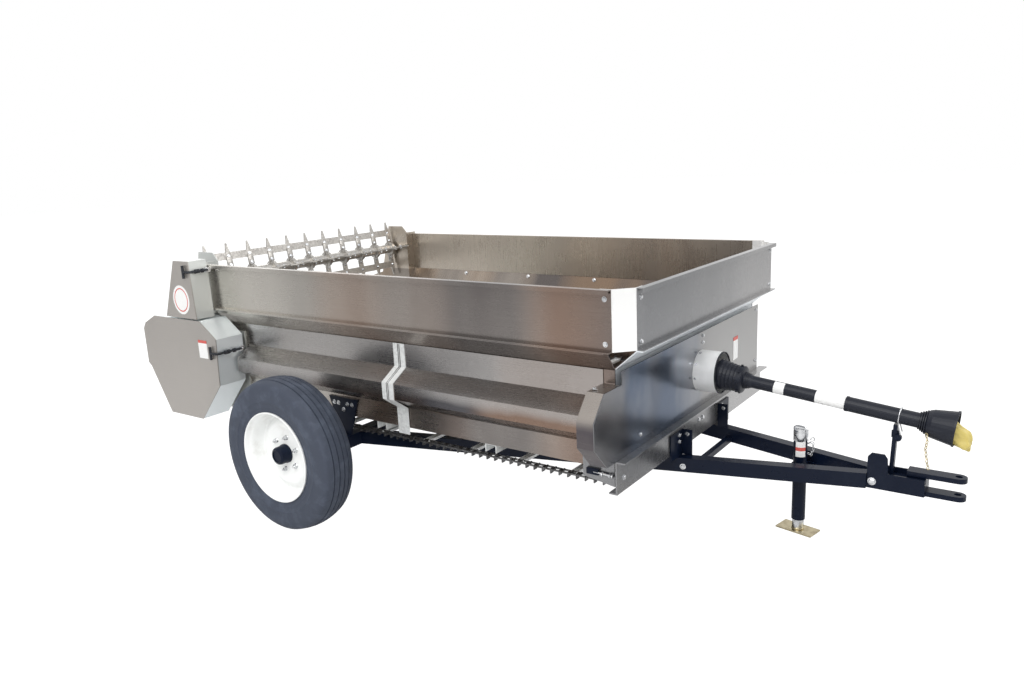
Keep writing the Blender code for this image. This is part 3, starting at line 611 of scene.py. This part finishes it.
class SPREADER_OT_wheels(bpy.types.Operator):
    """Tyres with ribbed tread, dished wheels, studs, hub caps and valves"""

    bl_idname = "spreader.wheels"
    bl_label = "Wheels"

    def tyre_outline(self, radius, half, seat):
        """Half of the closed section, from the middle of the tread to the bead."""
        size = sizes()
        shoulder = half - 0.016
        rib = 2 * shoulder / size.rib_count
        groove = 0.0032

        def crown(h):
            return radius - 0.012 * (h / shoulder) ** 2

        outline = []
        edge = rib / 2 if size.rib_count % 2 else rib
        while edge < shoulder - groove:
            for offset, drop in ((-groove, 0), (-groove * 0.6, 1), (groove * 0.6, 1), (groove, 0)):
                h = edge + offset
                outline.append((crown(h) - drop * size.groove_depth, h))
            edge += rib
        wall = (
            (radius - 0.018, 0.009), (radius - 0.032, 0.003), (0.312, 0.0006), (0.29, 0.0002),
            (0.272, 0.0012), (0.268, 0.0002), (0.264, 0.0002), (0.261, 0.0022), (0.245, 0.0045),
            (0.238, 0.0042), (0.234, 0.0062), (0.224, 0.0075), (seat, 0.009))
        outline.append((crown(shoulder), shoulder))
        return outline + [(r, half - inset) for r, inset in wall]

    def execute(self, context):
        size = sizes()
        for name, side in (("near", NEAR), ("far", FAR)):
            body = "wheel_" + name
            low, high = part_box("tyre_" + name)
            centre = middle("tyre_" + name)
            radius, half = (high[2] - low[2]) / 2, (high[1] - low[1]) / 2
            out = Vector((0, side, 0))
            outline = self.tyre_outline(radius, half, 0.2146)
            outline = outline + [(r, -h) for r, h in reversed(outline)]
            turned("tyre_" + name + "_ribbed", outline, centre, out, 96, "tyre rubber", body, 28,
                   ("tyre_" + name,))
            dish = [
                (0.2138, 0.076), (0.2155, 0.083), (0.2142, 0.0856), (0.211, 0.086),
                (0.2075, 0.083), (0.2055, 0.076), (0.203, 0.064), (0.1975, 0.059),
                (0.194, 0.054), (0.192, 0.03), (0.19, 0.004), (0.186, -0.006),
                (0.178, -0.01), (0.17, -0.007), (0.158, 0.006), (0.148, 0.015),
                (0.138, 0.019), (0.128, 0.018), (0.12, 0.015), (0.112, 0.014),
                (0.0405, 0.014), (0.0405, 0.0062), (0.112, 0.0062), (0.13, 0.01),
                (0.144, 0.008), (0.156, -0.002), (0.168, -0.015), (0.18, -0.019),
                (0.193, -0.017), (0.196, -0.04), (0.205, -0.06), (0.209, -0.08),
                (0.211, -0.086), (0.2142, -0.0856), (0.2155, -0.083), (0.2138, -0.076),
                (0.206, -0.07), (0.206, 0.056)]
            turned("rim_" + name + "_dished", dish, centre, out, 72, "wheel enamel", body, 40,
                   ("rim_" + name,))
            bm = bmesh.new()
            for i in range(size.stud_count):
                a = 2 * pi * i / size.stud_count + 0.35
                spot = centre + out * 0.014 + size.stud_circle * Vector((cos(a), 0, sin(a)))
                disc(bm, 0.0125, 0.004, spot, out, 18, 0.01)
                bolt(bm, spot + out * 0.003, out, 0.01, 0.011, False, a)
                disc(bm, 0.0058, 0.008, spot + out * 0.013, out, 12, 0.005)
            piece("wheel_studs_" + name, bm, "plated steel", body)
            cap = [
                (0.0402, 0.0142), (0.0455, 0.0145), (0.0455, 0.024), (0.042, 0.03),
                (0.042, 0.056), (0.0395, 0.064), (0.03, 0.07), (0.029, 0.069),
                (0.029, 0.0655), (0.0402, 0.055)]
            turned("hub_cap_" + name, cap, centre, out, 40, "black paint", body, 40)
            bm = bmesh.new()
            a = radians(-38)
            spot = centre + Vector((0.176 * cos(a), 0, 0.176 * sin(a))) - out * 0.01
            bend = Vector((-0.004, 0, 0.003))
            tube(bm, [spot, spot + out * 0.012, spot + out * 0.03 + bend], 0.0042, 10)
            disc(bm, 0.005, 0.01, spot + out * 0.029 + bend, out + 50 * bend, 10)
            piece("valve_" + name, bm, "latch rubber", body)
        return {"FINISHED"}


class SPREADER_OT_apron(bpy.types.Operator):
    """Hooked chain links and channel slats round both shafts"""

    bl_idname = "spreader.apron"
    bl_label = "Apron Chain and Slats"

    def execute(self, context):
        size = sizes()
        front, rear = middle("apron_front_shaft"), middle("apron_rear_shaft")
        low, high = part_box("apron_chain_near")
        radius = (high[2] - low[2]) / 2 - 0.006
        straight = front.x - rear.x
        loop = 2 * straight + 2 * pi * radius
        count = int(loop / size.link_pitch)
        half = size.link_pitch / 2

        def spot(length):
            """Place and heading at a length along the loop, from the rear of the upper run."""
            if length < straight:
                return Vector((rear.x + length, 0, rear.z + radius)), 0.0
            length -= straight
            if length < pi * radius:
                a = length / radius
                return front + radius * Vector((sin(a), 0, cos(a))), a
            length -= pi * radius
            if length < straight:
                return Vector((front.x - length, 0, front.z - radius)), pi
            a = (length - straight) / radius
            return rear + radius * Vector((-sin(a), 0, -cos(a))), pi + a

        for name in ("near", "far"):
            y = middle("apron_chain_" + name).y
            bm = bmesh.new()
            for i in range(count):
                place, heading = spot((i + 0.5) * loop / count)
                base = Matrix.Translation((place.x, y, place.z)) @ Matrix.Rotation(heading, 4, "Y")
                for extent, offset in (
                        ((0.006, 0.036, 0.01), (half - 0.004, 0, 0)),
                        ((0.008, 0.02, 0.011), (-half + 0.003, 0, 0.001)),
                        ((size.link_pitch - 0.006, 0.006, 0.007), (0, 0.013, 0)),
                        ((size.link_pitch - 0.006, 0.006, 0.007), (0, -0.013, 0)),
                        ((0.005, 0.022, 0.016), (-half + 0.008, 0, 0.012))):
                    placed(bm, slab(bm, extent, offset), base)
            piece("chain_links_" + name, bm, "dark iron", "chassis", 30,
                  ("apron_chain_" + name,))
        bm, bolts = bmesh.new(), bmesh.new()
        reach = abs(middle("apron_chain_near").y) - 0.004
        for i in range(2 * size.slat_count):
            place, heading = spot(straight / size.slat_count * (i % size.slat_count + 0.5)
                                  + (straight + pi * radius) * (i // size.slat_count))
            turn = Matrix.Translation((place.x, 0, place.z)) @ Matrix.Rotation(heading, 4, "Y")
            for extent, offset in (
                    ((0.034, 2 * reach, 0.003), (0, 0, 0.0082)),
                    ((0.003, 2 * reach, 0.012), (0.0155, 0, 0.0022)),
                    ((0.003, 2 * reach, 0.012), (-0.0155, 0, 0.0022))):
                placed(bm, slab(bm, extent, offset, edge=0.0008), turn)
            for side in (NEAR, FAR):
                for x in (-0.008, 0.008):
                    bolt(bolts, turn @ Vector((x, side * (reach - 0.014), 0.0095)),
                         turn.to_3x3() @ UP, 0.0055, 0.004)
        piece("apron_slats", bm, "zinc", "chassis")
        piece("slat_bolts", bolts)
        return {"FINISHED"}


class SPREADER_OT_beater(bpy.types.Operator):
    """Collars, cross plates and bolts on the beater"""

    bl_idname = "spreader.beater"
    bl_label = "Beater Fittings"

    def execute(self, context):
        low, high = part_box("beater_paddle_1")
        axis = middle("beater_shaft")
        centre = Vector((axis.x, 0, axis.z))
        half = (high[1] - low[1]) / 2
        count = 11
        first = 0.014 - half
        lean = radians(-8)
        collars, bolts = bmesh.new(), bmesh.new()
        for i in range(count):
            y = first - 2 * first * i / (count - 1)
            lathe(collars, band(0.0303, 0.046, -0.01, 0.01), centre + Vector((0, y, 0)),
                  (0, 1, 0), 12)
            for k in range(4):
                turn = Matrix.Translation(centre) @ Matrix.Rotation(lean + k * pi / 2, 4, "Y")
                placed(collars, slab(collars, (0.006, 0.036, 0.06), (0.0074, y, 0.074), edge=0.001),
                       turn)
                for radius in (0.056, 0.108):
                    for x in (0.0104 if radius < 0.1 else 0.004, -0.004):
                        bolt(bolts, turn @ Vector((x, y, radius)),
                             turn.to_3x3() @ Vector((copysign(1, x), 0, 0)), 0.0078, 0.006)
        piece("beater_brackets", collars, "beater zinc", "beater")
        piece("beater_bolts", bolts, "plated steel", "beater")
        return {"FINISHED"}


class SPREADER_OT_box_trim(bpy.types.Operator):
    """Bolts, a tensioner, the strap's seam, and the can's screws and edge trim on the box and its
    front
    """

    bl_idname = "spreader.box_trim"
    bl_label = "Box Trim"

    def execute(self, context):
        bm = bmesh.new()
        low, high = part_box("sideboard_near")
        wall, split = -0.024 - low[1], low[2]
        face_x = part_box("sideboard_front")[1][0] - 0.024
        ahead = (1, 0, 0)
        for side in (NEAR, FAR):
            for z in (split + 0.03, split + 0.2):
                bolt(bm, (high[0] - 0.026, side * wall, z), (0, side, 0), 0.008, 0.006)
                bolt(bm, (face_x, side * (wall - 0.072 - 0.024), z), ahead, 0.008, 0.006)
        for distance in (-1.987, -1.486, -1.008, -0.4):
            for side in (NEAR, FAR):
                bolt(bm, at(distance, side * (wall - 0.02), split - 0.0145),
                     (0, -side, 0.35), 0.0085, 0.006)
        for y, z in ((0.024, 0.826), (0.024, 0.795), (0.715, 0.82), (0.715, 0.55),
                     (-0.6, 0.55), (0.4, 0.55)):
            bolt(bm, at(0, y, z), ahead, 0.0068, 0.005)
        bolt(bm, at(-0.058, -0.85, 0.796), UP, 0.008, 0.006)
        for y, z in ((-0.022, 0.44), (0.022, 0.44), (-0.745, 0.42), (0.745, 0.42)):
            bolt(bm, at(0, y, z), ahead, 0.0085, 0.006)
        piece("box_bolts", bm)
        bm = bmesh.new()
        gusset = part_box("front_gusset_near")[0][1]
        spot = at(-0.04, gusset - 0.01, 0.42)
        tube(bm, [spot, spot + Vector((-0.085, 0, 0.004))], 0.0048, 10)
        for h in (0.004, 0.016, 0.05):
            bolt(bm, spot + Vector((-h, 0, 0)), ahead, 0.009, 0.007, False)
        piece("tensioner_rod", bm, smooth=50)
        bm = bmesh.new()
        slab(bm, (0.055, 0.014, 0.026), at(-0.13, gusset - 0.0075, 0.4245), edge=0.002)
        slab(bm, (0.05, 0.002, 0.01), at(-0.085, gusset - 0.0012, 0.422))
        piece("tensioner_block", bm, "black paint", "chassis", 40)
        low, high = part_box("shield_strap")
        out, back = low[1] - 0.0005, high[1] - 0.0035
        bm = bmesh.new()
        for shift in (-0.0045, 0.0045):
            x = (low[0] + high[0]) / 2 + shift
            tube(bm, [(x, back, low[2] + 0.004), (x, back, 0.538), (x, out, 0.603), (x, out, 0.678),
                      (x, back, 0.735), (x, back, high[2] - 0.004)], 0.0022, 6)
        piece("strap_seam", bm, "dark iron", "chassis", 50)
        bm = bmesh.new()
        can = middle("pto_can")
        low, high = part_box("pto_can")
        for angle in (110, 150, 190, 230):
            a = radians(angle)
            out = Vector((0, cos(a), sin(a)))
            bolt(bm, Vector((low[0] + 0.012, can.y, can.z)) + out * 0.094, out, 0.0045, 0.003)
        piece("can_screws", bm)
        turned("can_edge_trim", band(0.09, 0.0945, -0.003, 0.0022),
               (high[0] - 0.002, can.y, can.z), ahead, 56, "latch rubber")
        return {"FINISHED"}


class SPREADER_OT_labels(bpy.types.Operator):
    """Blank labels: white fields with a coloured header"""

    bl_idname = "spreader.labels"
    bl_label = "Blank Labels"

    def execute(self, context):
        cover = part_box("gear_cover")[0][1]
        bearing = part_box("bearing_cover")[0][1]
        table = (
            ("label_panel", "chassis", at(0, 0.43, 0.68), (1, 0, 0), 0.06, 0.115),
            ("label_gear_cover", "gear_cover", at(-2.39, cover, 0.735), (0, -1, 0), 0.076, 0.098),
        )
        for name, body, spot, normal, wide, tall in table:
            turn = Matrix.Translation(spot) @ facing(normal)
            for part, finish, share, lift, thick in (("", "label white", 1, 0, 0.0006),
                                                     ("_header", "label red", 0.16, 0.42, 0.0007)):
                size, shift = (wide, tall * share, thick), (0, tall * lift, 0.0006)
                if normal[0]:
                    size, shift = (tall * share, wide, thick), (-tall * lift, 0, 0.0006)
                bm = bmesh.new()
                placed(bm, slab(bm, size, shift), turn)
                piece(name + part, bm, finish, body)
        spot = at(-2.531, bearing + 0.0002, 0.992)
        blank, ring = bmesh.new(), bmesh.new()
        disc(blank, 0.078, 0.0008, spot, (0, -1, 0), 48)
        lathe(ring, band(0.058, 0.064, 0.0006, 0.0012), spot, (0, -1, 0), 48)
        for name, bm, finish in (("sticker_blank", blank, "label white"),
                                 ("sticker_ring", ring, "label red")):
            for vert in bm.verts:
                vert.co.x = spot.x + (vert.co.x - spot.x) * 0.94
            piece(name, bm, finish, "bearing_cover")
        return {"FINISHED"}


class SPREADER_OT_latches(bpy.types.Operator):
    """Rubber T-handle latches that hold the covers shut"""

    bl_idname = "spreader.latches"
    bl_label = "Cover Latches"

    def execute(self, context):
        for name, body, start, front, anchor, z in (
                ("latch_bearing", "bearing_cover", -2.465, -2.418, -0.848, 1.145),
                ("latch_gear", "gear_cover", -2.313, -2.264, -0.806, 0.722)):
            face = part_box(body)[0][1]
            bm = bmesh.new()
            spot = at(start, face - 0.01, z)
            tube(bm, [spot + UP * h for h in (-0.034, -0.03, 0, 0.03, 0.034)], 0.0075, 10)
            corner = at(front, face - 0.004, z)
            points = [spot, spot.lerp(corner, 0.6), corner + Vector((-0.006, -0.005, 0)),
                      corner + Vector((0.002, 0.006, 0))]
            end = at(front, anchor, z)
            points += [corner.lerp(end, t) + Vector((0.002, 0, 0)) for t in (0.3, 0.5, 0.7, 0.9, 1.0)]
            tube(bm, points, 0.0065, 10)
            for t in (0.3, 0.42, 0.66):
                disc(bm, 0.011, 0.012, corner.lerp(end, t) + Vector((0.002, 0, 0)), (0, 1, 0), 14)
            piece(name, bm, "latch rubber", body, 50)
            bm = bmesh.new()
            slab(bm, (0.006, 0.03, 0.026), end + Vector((-0.004, 0.008, 0)), edge=0.001)
            disc(bm, 0.006, 0.01, end + Vector((-0.002, 0.008, 0)), (1, 0, 0), 14)
            piece(name + "_hook", bm, "plated steel", body, 50)
        return {"FINISHED"}


class SPREADER_OT_drawbar_fittings(bpy.types.Operator):
    """Bolts of the drawbar, brackets, axle and hitch"""

    bl_idname = "spreader.drawbar_fittings"
    bl_label = "Drawbar Fittings"

    def execute(self, context):
        slope = 0.277  # of the rails, in y along x
        bm = bmesh.new()
        for side in (NEAR, FAR):
            for z in (0.435, 0.405):
                bolt(bm, at(0.007, side * 0.245, z), (1, 0, 0), 0.0085, 0.006)
            bolt(bm, at(0.03, 0.205 if side > 0 else -0.212, 0.435), (0, -1, 0), 0.007, 0.005)
            bolt(bm, at(0.029, side * (0.267 - slope * 0.029), 0.3), (slope, side, 0),
                 0.0098, 0.008)
            bolt(bm, at(0.757, side * 0.052, 0.305), (0, side, 0), 0.012, 0.009)
        piece("drawbar_bolts", bm)
        bm = bmesh.new()
        axle = middle("axle")
        for side in (NEAR, FAR):
            for x in (-0.062, -0.032, 0.0, 0.03, 0.062):
                bolt(bm, (axle.x + x, side * 0.754, 0.5 if x else 0.47), (0, side, 0),
                     0.0085, 0.006)
        piece("axle_bolts", bm)
        return {"FINISHED"}


class SPREADER_OT_jack_fittings(bpy.types.Operator):
    """Cap, crank handle, pull pin with its ring and chain, and the jack's label"""

    bl_idname = "spreader.jack_fittings"
    bl_label = "Jack Fittings"

    def execute(self, context):
        low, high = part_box("jack_tube")
        axis = middle("jack_tube")
        radius = (high[0] - low[0]) / 2
        foot = Vector((axis.x, 0, 0))
        base = foot + UP * high[2]
        bm = bmesh.new()
        lathe(bm, [(0.0286, -0.05), (0.03, -0.048), (0.03, -0.005), (0.0275, 0.0005),
                   (0.02, 0.0035), (0.004, 0.004), (0.004, 0.001), (0.0286, 0.0008)],
              base, UP, 36)
        disc(bm, 0.0041, 0.0035, base + UP * 0.0006, UP, 12)
        piece("jack_cap", bm, smooth=40)
        bm = bmesh.new()
        turn = radians(-12)
        wide = Vector((cos(turn), sin(turn), 0))
        grip = 0.031
        tube(bm, [base - wide * grip - UP * 0.03, base - wide * grip]
             + arc(base + UP * 0.002, grip, 175, 5, 8, wide, UP * 0.35)
             + [base + wide * grip, base + wide * grip - UP * 0.03], 0.0035, 8)
        piece("jack_handle", bm, smooth=50)
        bm = bmesh.new()
        side = Vector((0.35, 0.94, 0)).normalized()
        pin = foot + UP * 0.392 + side * radius
        disc(bm, 0.0085, 0.03, pin, side, 14)
        disc(bm, 0.005, 0.022, pin + side * 0.03, side, 12)
        ring = arc(pin + side * 0.052, 0.014, 0, 330, 11, side, UP)
        tube(bm, ring, 0.002, 6, closed=True)
        start = pin + side * 0.058 - UP * 0.012
        chain(bm, [start, start - UP * 0.03 + side * 0.004, start - UP * 0.055 - side * 0.012,
                   start - UP * 0.04 - side * 0.035], 0.012, 0.0016, 0.0045)
        piece("jack_pin", bm, smooth=50)
        start = radians(-115)
        for name, finish, low_z, high_z, skin in (
                ("jack_label", "label white", 0.345, 0.425, 0.029),
                ("jack_label_band", "label red", 0.372, 0.388, 0.0293)):
            bm = bmesh.new()
            face = bm.faces.new([
                bm.verts.new((axis.x + r * cos(start), r * sin(start), z))
                for r, z in band(radius + 0.00005, skin, low_z, high_z)])
            bmesh.ops.spin(bm, geom=[face], cent=foot, axis=UP, angle=radians(85), steps=14)
            piece(name, bm, finish, smooth=40)
        turned("foot_weld", [(0.0239, 0.0062), (0.0262, 0.0062), (0.0262, 0.01), (0.025, 0.0125),
                             (0.0239, 0.013)], foot, UP, 32, "zinc gold", "jack_leg", 50)
        turned("jack_leg_plating", band(0.02385, 0.02425, 0.013, 0.28), foot, UP, 36,
               "plated steel", "jack_leg", 40)
        return {"FINISHED"}


class SPREADER_OT_drive_guard(bpy.types.Operator):
    """Ribs, labels, chains, the yellow cover and the stand's loop on the drive shaft"""

    bl_idname = "spreader.drive_guard"
    bl_label = "Drive Shaft Guard"

    def execute(self, context):
        joints = {j["name"]: j for j in frame["record"]["behaviour"]["joints"]}
        pivot = Vector(joints["pto_swing"]["pos_m"])
        along = Vector(joints["pto_extend"]["axis"]).normalized()
        side = Vector((0, 1, 0))
        over = along.cross(side)
        over *= copysign(1, over.z)
        bm = bmesh.new()
        for h in (0.044, 0.06, 0.076, 0.092, 0.108):
            r = 0.068 - (h - 0.04) / 0.08 * 0.013
            lathe(bm, [(r - 0.002, h - 0.003), (r + 0.0022, h - 0.002), (r + 0.0022, h + 0.002),
                       (r - 0.002, h + 0.003)], pivot, along, 48)
        for i in range(8):
            a = 2 * pi * i / 8
            out = over * cos(a) + side * sin(a)
            disc(bm, 0.0055, 0.012, pivot + along * 0.128 + out * 0.054, out, 10)
        lathe(bm, [(0.05, 0.118), (0.06, 0.12), (0.06, 0.142), (0.05, 0.145)], pivot, along, 48)
        for h in (0.15, 0.158, 0.166):
            lathe(bm, band(0.028, 0.0385 - (h - 0.15) * 0.3, h, h + 0.004), pivot, along, 40)
        piece("guard_rear_ribs", bm, "black plastic", "pto_rear", 45)
        turned("guard_white_band", band(0.02705, 0.0272, 0.455, 0.5735), pivot, along, 40,
               "label white", "pto_rear", 40)
        bm = bmesh.new()
        lathe(bm, band(0.02705, 0.02745, 0.28, 0.325), pivot, along, 40)
        hidden = [f for f in bm.faces if (pivot - f.calc_center_median()).dot(side) < 0.004]
        bmesh.ops.delete(bm, geom=hidden, context="FACES")
        bmesh.ops.holes_fill(bm, edges=[e for e in bm.edges if e.is_boundary])
        piece("guard_small_label", bm, "label white", "pto_rear", 40)
        bm = bmesh.new()
        for h in (0.852, 0.86, 0.868, 0.876):
            lathe(bm, band(0.03, 0.0355 + (h - 0.852) * 0.5, h, h + 0.004), pivot, along, 40)
        lathe(bm, band(0.067, 0.0712, 0.979, 0.986), pivot, along, 56)
        lathe(bm, band(0.03, 0.0318, 0.575, 0.585), pivot, along, 40)
        piece("guard_front_ribs", bm, "black plastic", "pto_front", 45)
        self.cover(pivot, along, side, over)
        self.stand(pivot, along, side, over)
        bm = bmesh.new()
        hang = pivot + along * 0.89 - side * 0.045 - over * 0.03
        foot = at(0.955, -0.03, 0.386)
        chain(bm, [hang, hang + Vector((0.006, -0.004, -0.03)),
                   hang.lerp(foot, 0.45) + Vector((-0.006, 0, 0)),
                   hang.lerp(foot, 0.8) + Vector((-0.003, 0, 0)), foot], 0.0135, 0.0017, 0.0048)
        tube(bm, arc(pivot + along * 0.884, 0.0415, 0, 345, 23, side, over), 0.0018, 6, closed=True)
        piece("guard_chain_front", bm, "chain gold", "pto_front", 50)
        return {"FINISHED"}

    def cover(self, pivot, along, side, over):
        """Crumpled yellow cover that droops from the front cone."""
        bm = bmesh.new()
        sides, rings = 28, 12
        previous = None
        for j in range(rings):
            t = j / (rings - 1)
            centre = pivot + along * (0.915 + 0.128 * t) - over * (0.006 + 0.044 * t * t)
            radius = 0.052 - 0.016 * t - (0.012 if j == rings - 1 else 0)
            ring = []
            for k in range(sides):
                a = 2 * pi * k / sides
                crease = 1 + 0.2 * t * sin(5 * a + 3.1 * t) + 0.13 * sin(3 * a + 11 * t)
                crease += 0.12 * t * sin(9 * a - 8 * t)
                out = (side * cos(a) * 0.86 + over * sin(a)) * radius * crease
                shift = along * 0.006 * sin(4 * a + 2 * t) * t
                ring.append(bm.verts.new(centre + out + shift))
            edges = [bm.edges.new((ring[k], ring[(k + 1) % sides])) for k in range(sides)]
            if previous:
                bmesh.ops.bridge_loops(bm, edges=previous + edges)
            else:
                bm.faces.new(ring)
            previous = edges
        bm.faces.new(ring)
        item = piece("yoke_cover", bm, "yellow plastic", "pto_front", 80,
                     ("pto_yoke",))
        smooth = item.modifiers.new("Smooth", "SUBSURF")
        smooth.levels = smooth.render_levels = 1

    def stand(self, pivot, along, side, over):
        """Wire loop round the guard and the stand's clamp knob."""
        low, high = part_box("pto_stand")
        distance = ((low[0] + high[0]) / 2 + 0.004 - pivot.x) / along.x
        centre = pivot + along * (distance + 0.012)
        bm = bmesh.new()
        tube(bm, [centre + Vector((0.008, 0.02, -0.07))]
             + arc(centre, 0.0335, -60, 240, 18, side, over)
             + [centre + Vector((0.008, -0.02, -0.07))], 0.0026, 8)
        piece("stand_loop", bm, smooth=50)
        bm = bmesh.new()
        knob = Vector((high[0] + 0.004, -0.016, high[2] - 0.05))
        disc(bm, 0.014, 0.016, knob + Vector((0, 0.008, 0)), (0, -1, 0), 24)
        slab(bm, (0.03, 0.008, 0.03), knob + Vector((-0.012, 0.012, 0.01)), edge=0.001)
        piece("stand_clamp", bm, "black paint", "chassis", 40)


class SPREADER_OT_stage(bpy.types.Operator):
    """Pale floor, soft lights and the camera"""

    bl_idname = "spreader.stage"
    bl_label = "Stage"

    def execute(self, context):
        self.floor()
        self.world()
        self.lamps()
        self.camera()
        context.scene.view_settings.view_transform = "Standard"
        return {"FINISHED"}

    def floor(self):
        bm = bmesh.new()
        bmesh.ops.create_grid(bm, x_segments=1, y_segments=1, size=40.0)
        mesh = bpy.data.meshes.new("floor")
        bm.to_mesh(mesh)
        bm.free()
        item = added("floor_stage", mesh)
        item.location.z = -0.001
        g = Graph("pale floor", (0.86, 0.86, 0.86), 0.9)
        seen = g.value("ShaderNodeLightPath", {}, {}, "Is Camera Ray")
        glow = g.value("ShaderNodeEmission", {}, {"Color": (1, 1, 1, 1), "Strength": 1.3})
        plain = Socket(g, g.shader.outputs[0])
        lit = g.value("ShaderNodeMixShader", {}, {0: 0.8, 1: plain, 2: glow})
        mixed = g.value("ShaderNodeMixShader", {}, {0: seen, 1: plain, 2: lit})
        g.tree.links.new(mixed.output, g.tree.nodes["Material Output"].inputs[0])
        mesh.materials.append(g.material)

    def world(self):
        world = bpy.data.worlds.new("studio")
        world.use_nodes = True
        w = Nodes(world.node_tree)
        camera, glossy, through = [
            w.value("ShaderNodeLightPath", {}, {}, "Is %s Ray" % kind)
            for kind in ("Camera", "Glossy", "Transmission")]
        seen = w.math("MAXIMUM", w.math("MAXIMUM", camera, glossy), through)
        strength = w.value("ShaderNodeMapRange", {}, {0: seen, "To Min": 0.66, "To Max": 1.0})
        background = w.tree.nodes["Background"]
        background.inputs[0].default_value = (1, 1, 1, 1)
        w.tree.links.new(strength.output, background.inputs[1])
        bpy.context.scene.world = world

    def lamps(self):
        table = (
            ("key", (1.5, -4.5, 5.0), (0, 0, 0.6), 4.0, 260.0),
            ("fill", (5.0, 2.5, 3.5), (0, 0, 0.6), 3.5, 90.0),
            ("back", (-4.5, 2.0, 4.5), (0, 0, 0.8), 3.5, 90.0),
        )
        for name, place, target, size, power in table:
            lamp = bpy.data.lights.new(name, "AREA")
            lamp.size = size
            lamp.energy = power
            item = added(name, lamp)
            item.location = place
            away = Vector(place) - Vector(target)
            item.rotation_euler = away.to_track_quat("Z", "Y").to_euler()

    def camera(self):
        yaw, pitch, roll = (radians(a) for a in (36.321, 12.895, -2.749))
        view = Vector((-sin(yaw) * cos(pitch), cos(yaw) * cos(pitch),
                       -sin(pitch)))
        level = Vector((cos(yaw), sin(yaw), 0))
        over = level.cross(view)
        right = cos(roll) * level + sin(roll) * over
        top = -sin(roll) * level + cos(roll) * over
        lens = bpy.data.cameras.new("camera")
        lens.sensor_width = 36.0
        lens.lens = 28.48
        item = added("camera", lens)
        turn = Matrix((right, top, -view)).transposed().to_4x4()
        item.matrix_world = Matrix.Translation(at(1.4176, -3.3636, 1.653)) @ turn
        bpy.context.scene.camera = item


class SPREADER_PT_panel(bpy.types.Panel):
    """Lists the settings and the steps"""

    bl_label = "Spreader"
    bl_idname = "SPREADER_PT_panel"
    bl_space_type = "VIEW_3D"
    bl_region_type = "UI"
    bl_category = "Spreader"

    def draw(self, context):
        for group in (context.scene.spreader_sizes, context.scene.spreader_colours):
            box = self.layout.box()
            for key in group.bl_rna.properties.keys():
                if key not in ("rna_type", "name"):
                    box.prop(group, key)
        for step in STEPS:
            self.layout.operator(step.bl_idname)


STEPS = (
    SPREADER_OT_finishes,
    SPREADER_OT_stage,
    SPREADER_OT_wheels,
    SPREADER_OT_apron,
    SPREADER_OT_beater,
    SPREADER_OT_box_trim,
    SPREADER_OT_labels,
    SPREADER_OT_latches,
    SPREADER_OT_drawbar_fittings,
    SPREADER_OT_jack_fittings,
    SPREADER_OT_drive_guard,
)
CLASSES = (SpreaderSizes, SpreaderColours, *STEPS, SPREADER_PT_panel)


def register():
    for item in CLASSES:
        bpy.utils.register_class(item)
    bpy.types.Scene.spreader_sizes = PointerProperty(type=SpreaderSizes)
    bpy.types.Scene.spreader_colours = PointerProperty(type=SpreaderColours)


def unregister():
    del bpy.types.Scene.spreader_colours
    del bpy.types.Scene.spreader_sizes
    for item in reversed(CLASSES):
        bpy.utils.unregister_class(item)


def main():
    """Register the classes and run every step."""
    register()
    for step in STEPS:
        group, call = step.bl_idname.split(".")
        getattr(getattr(bpy.ops, group), call)()
    bpy.context.view_layer.update()


if __name__ == "__main__":
    main()
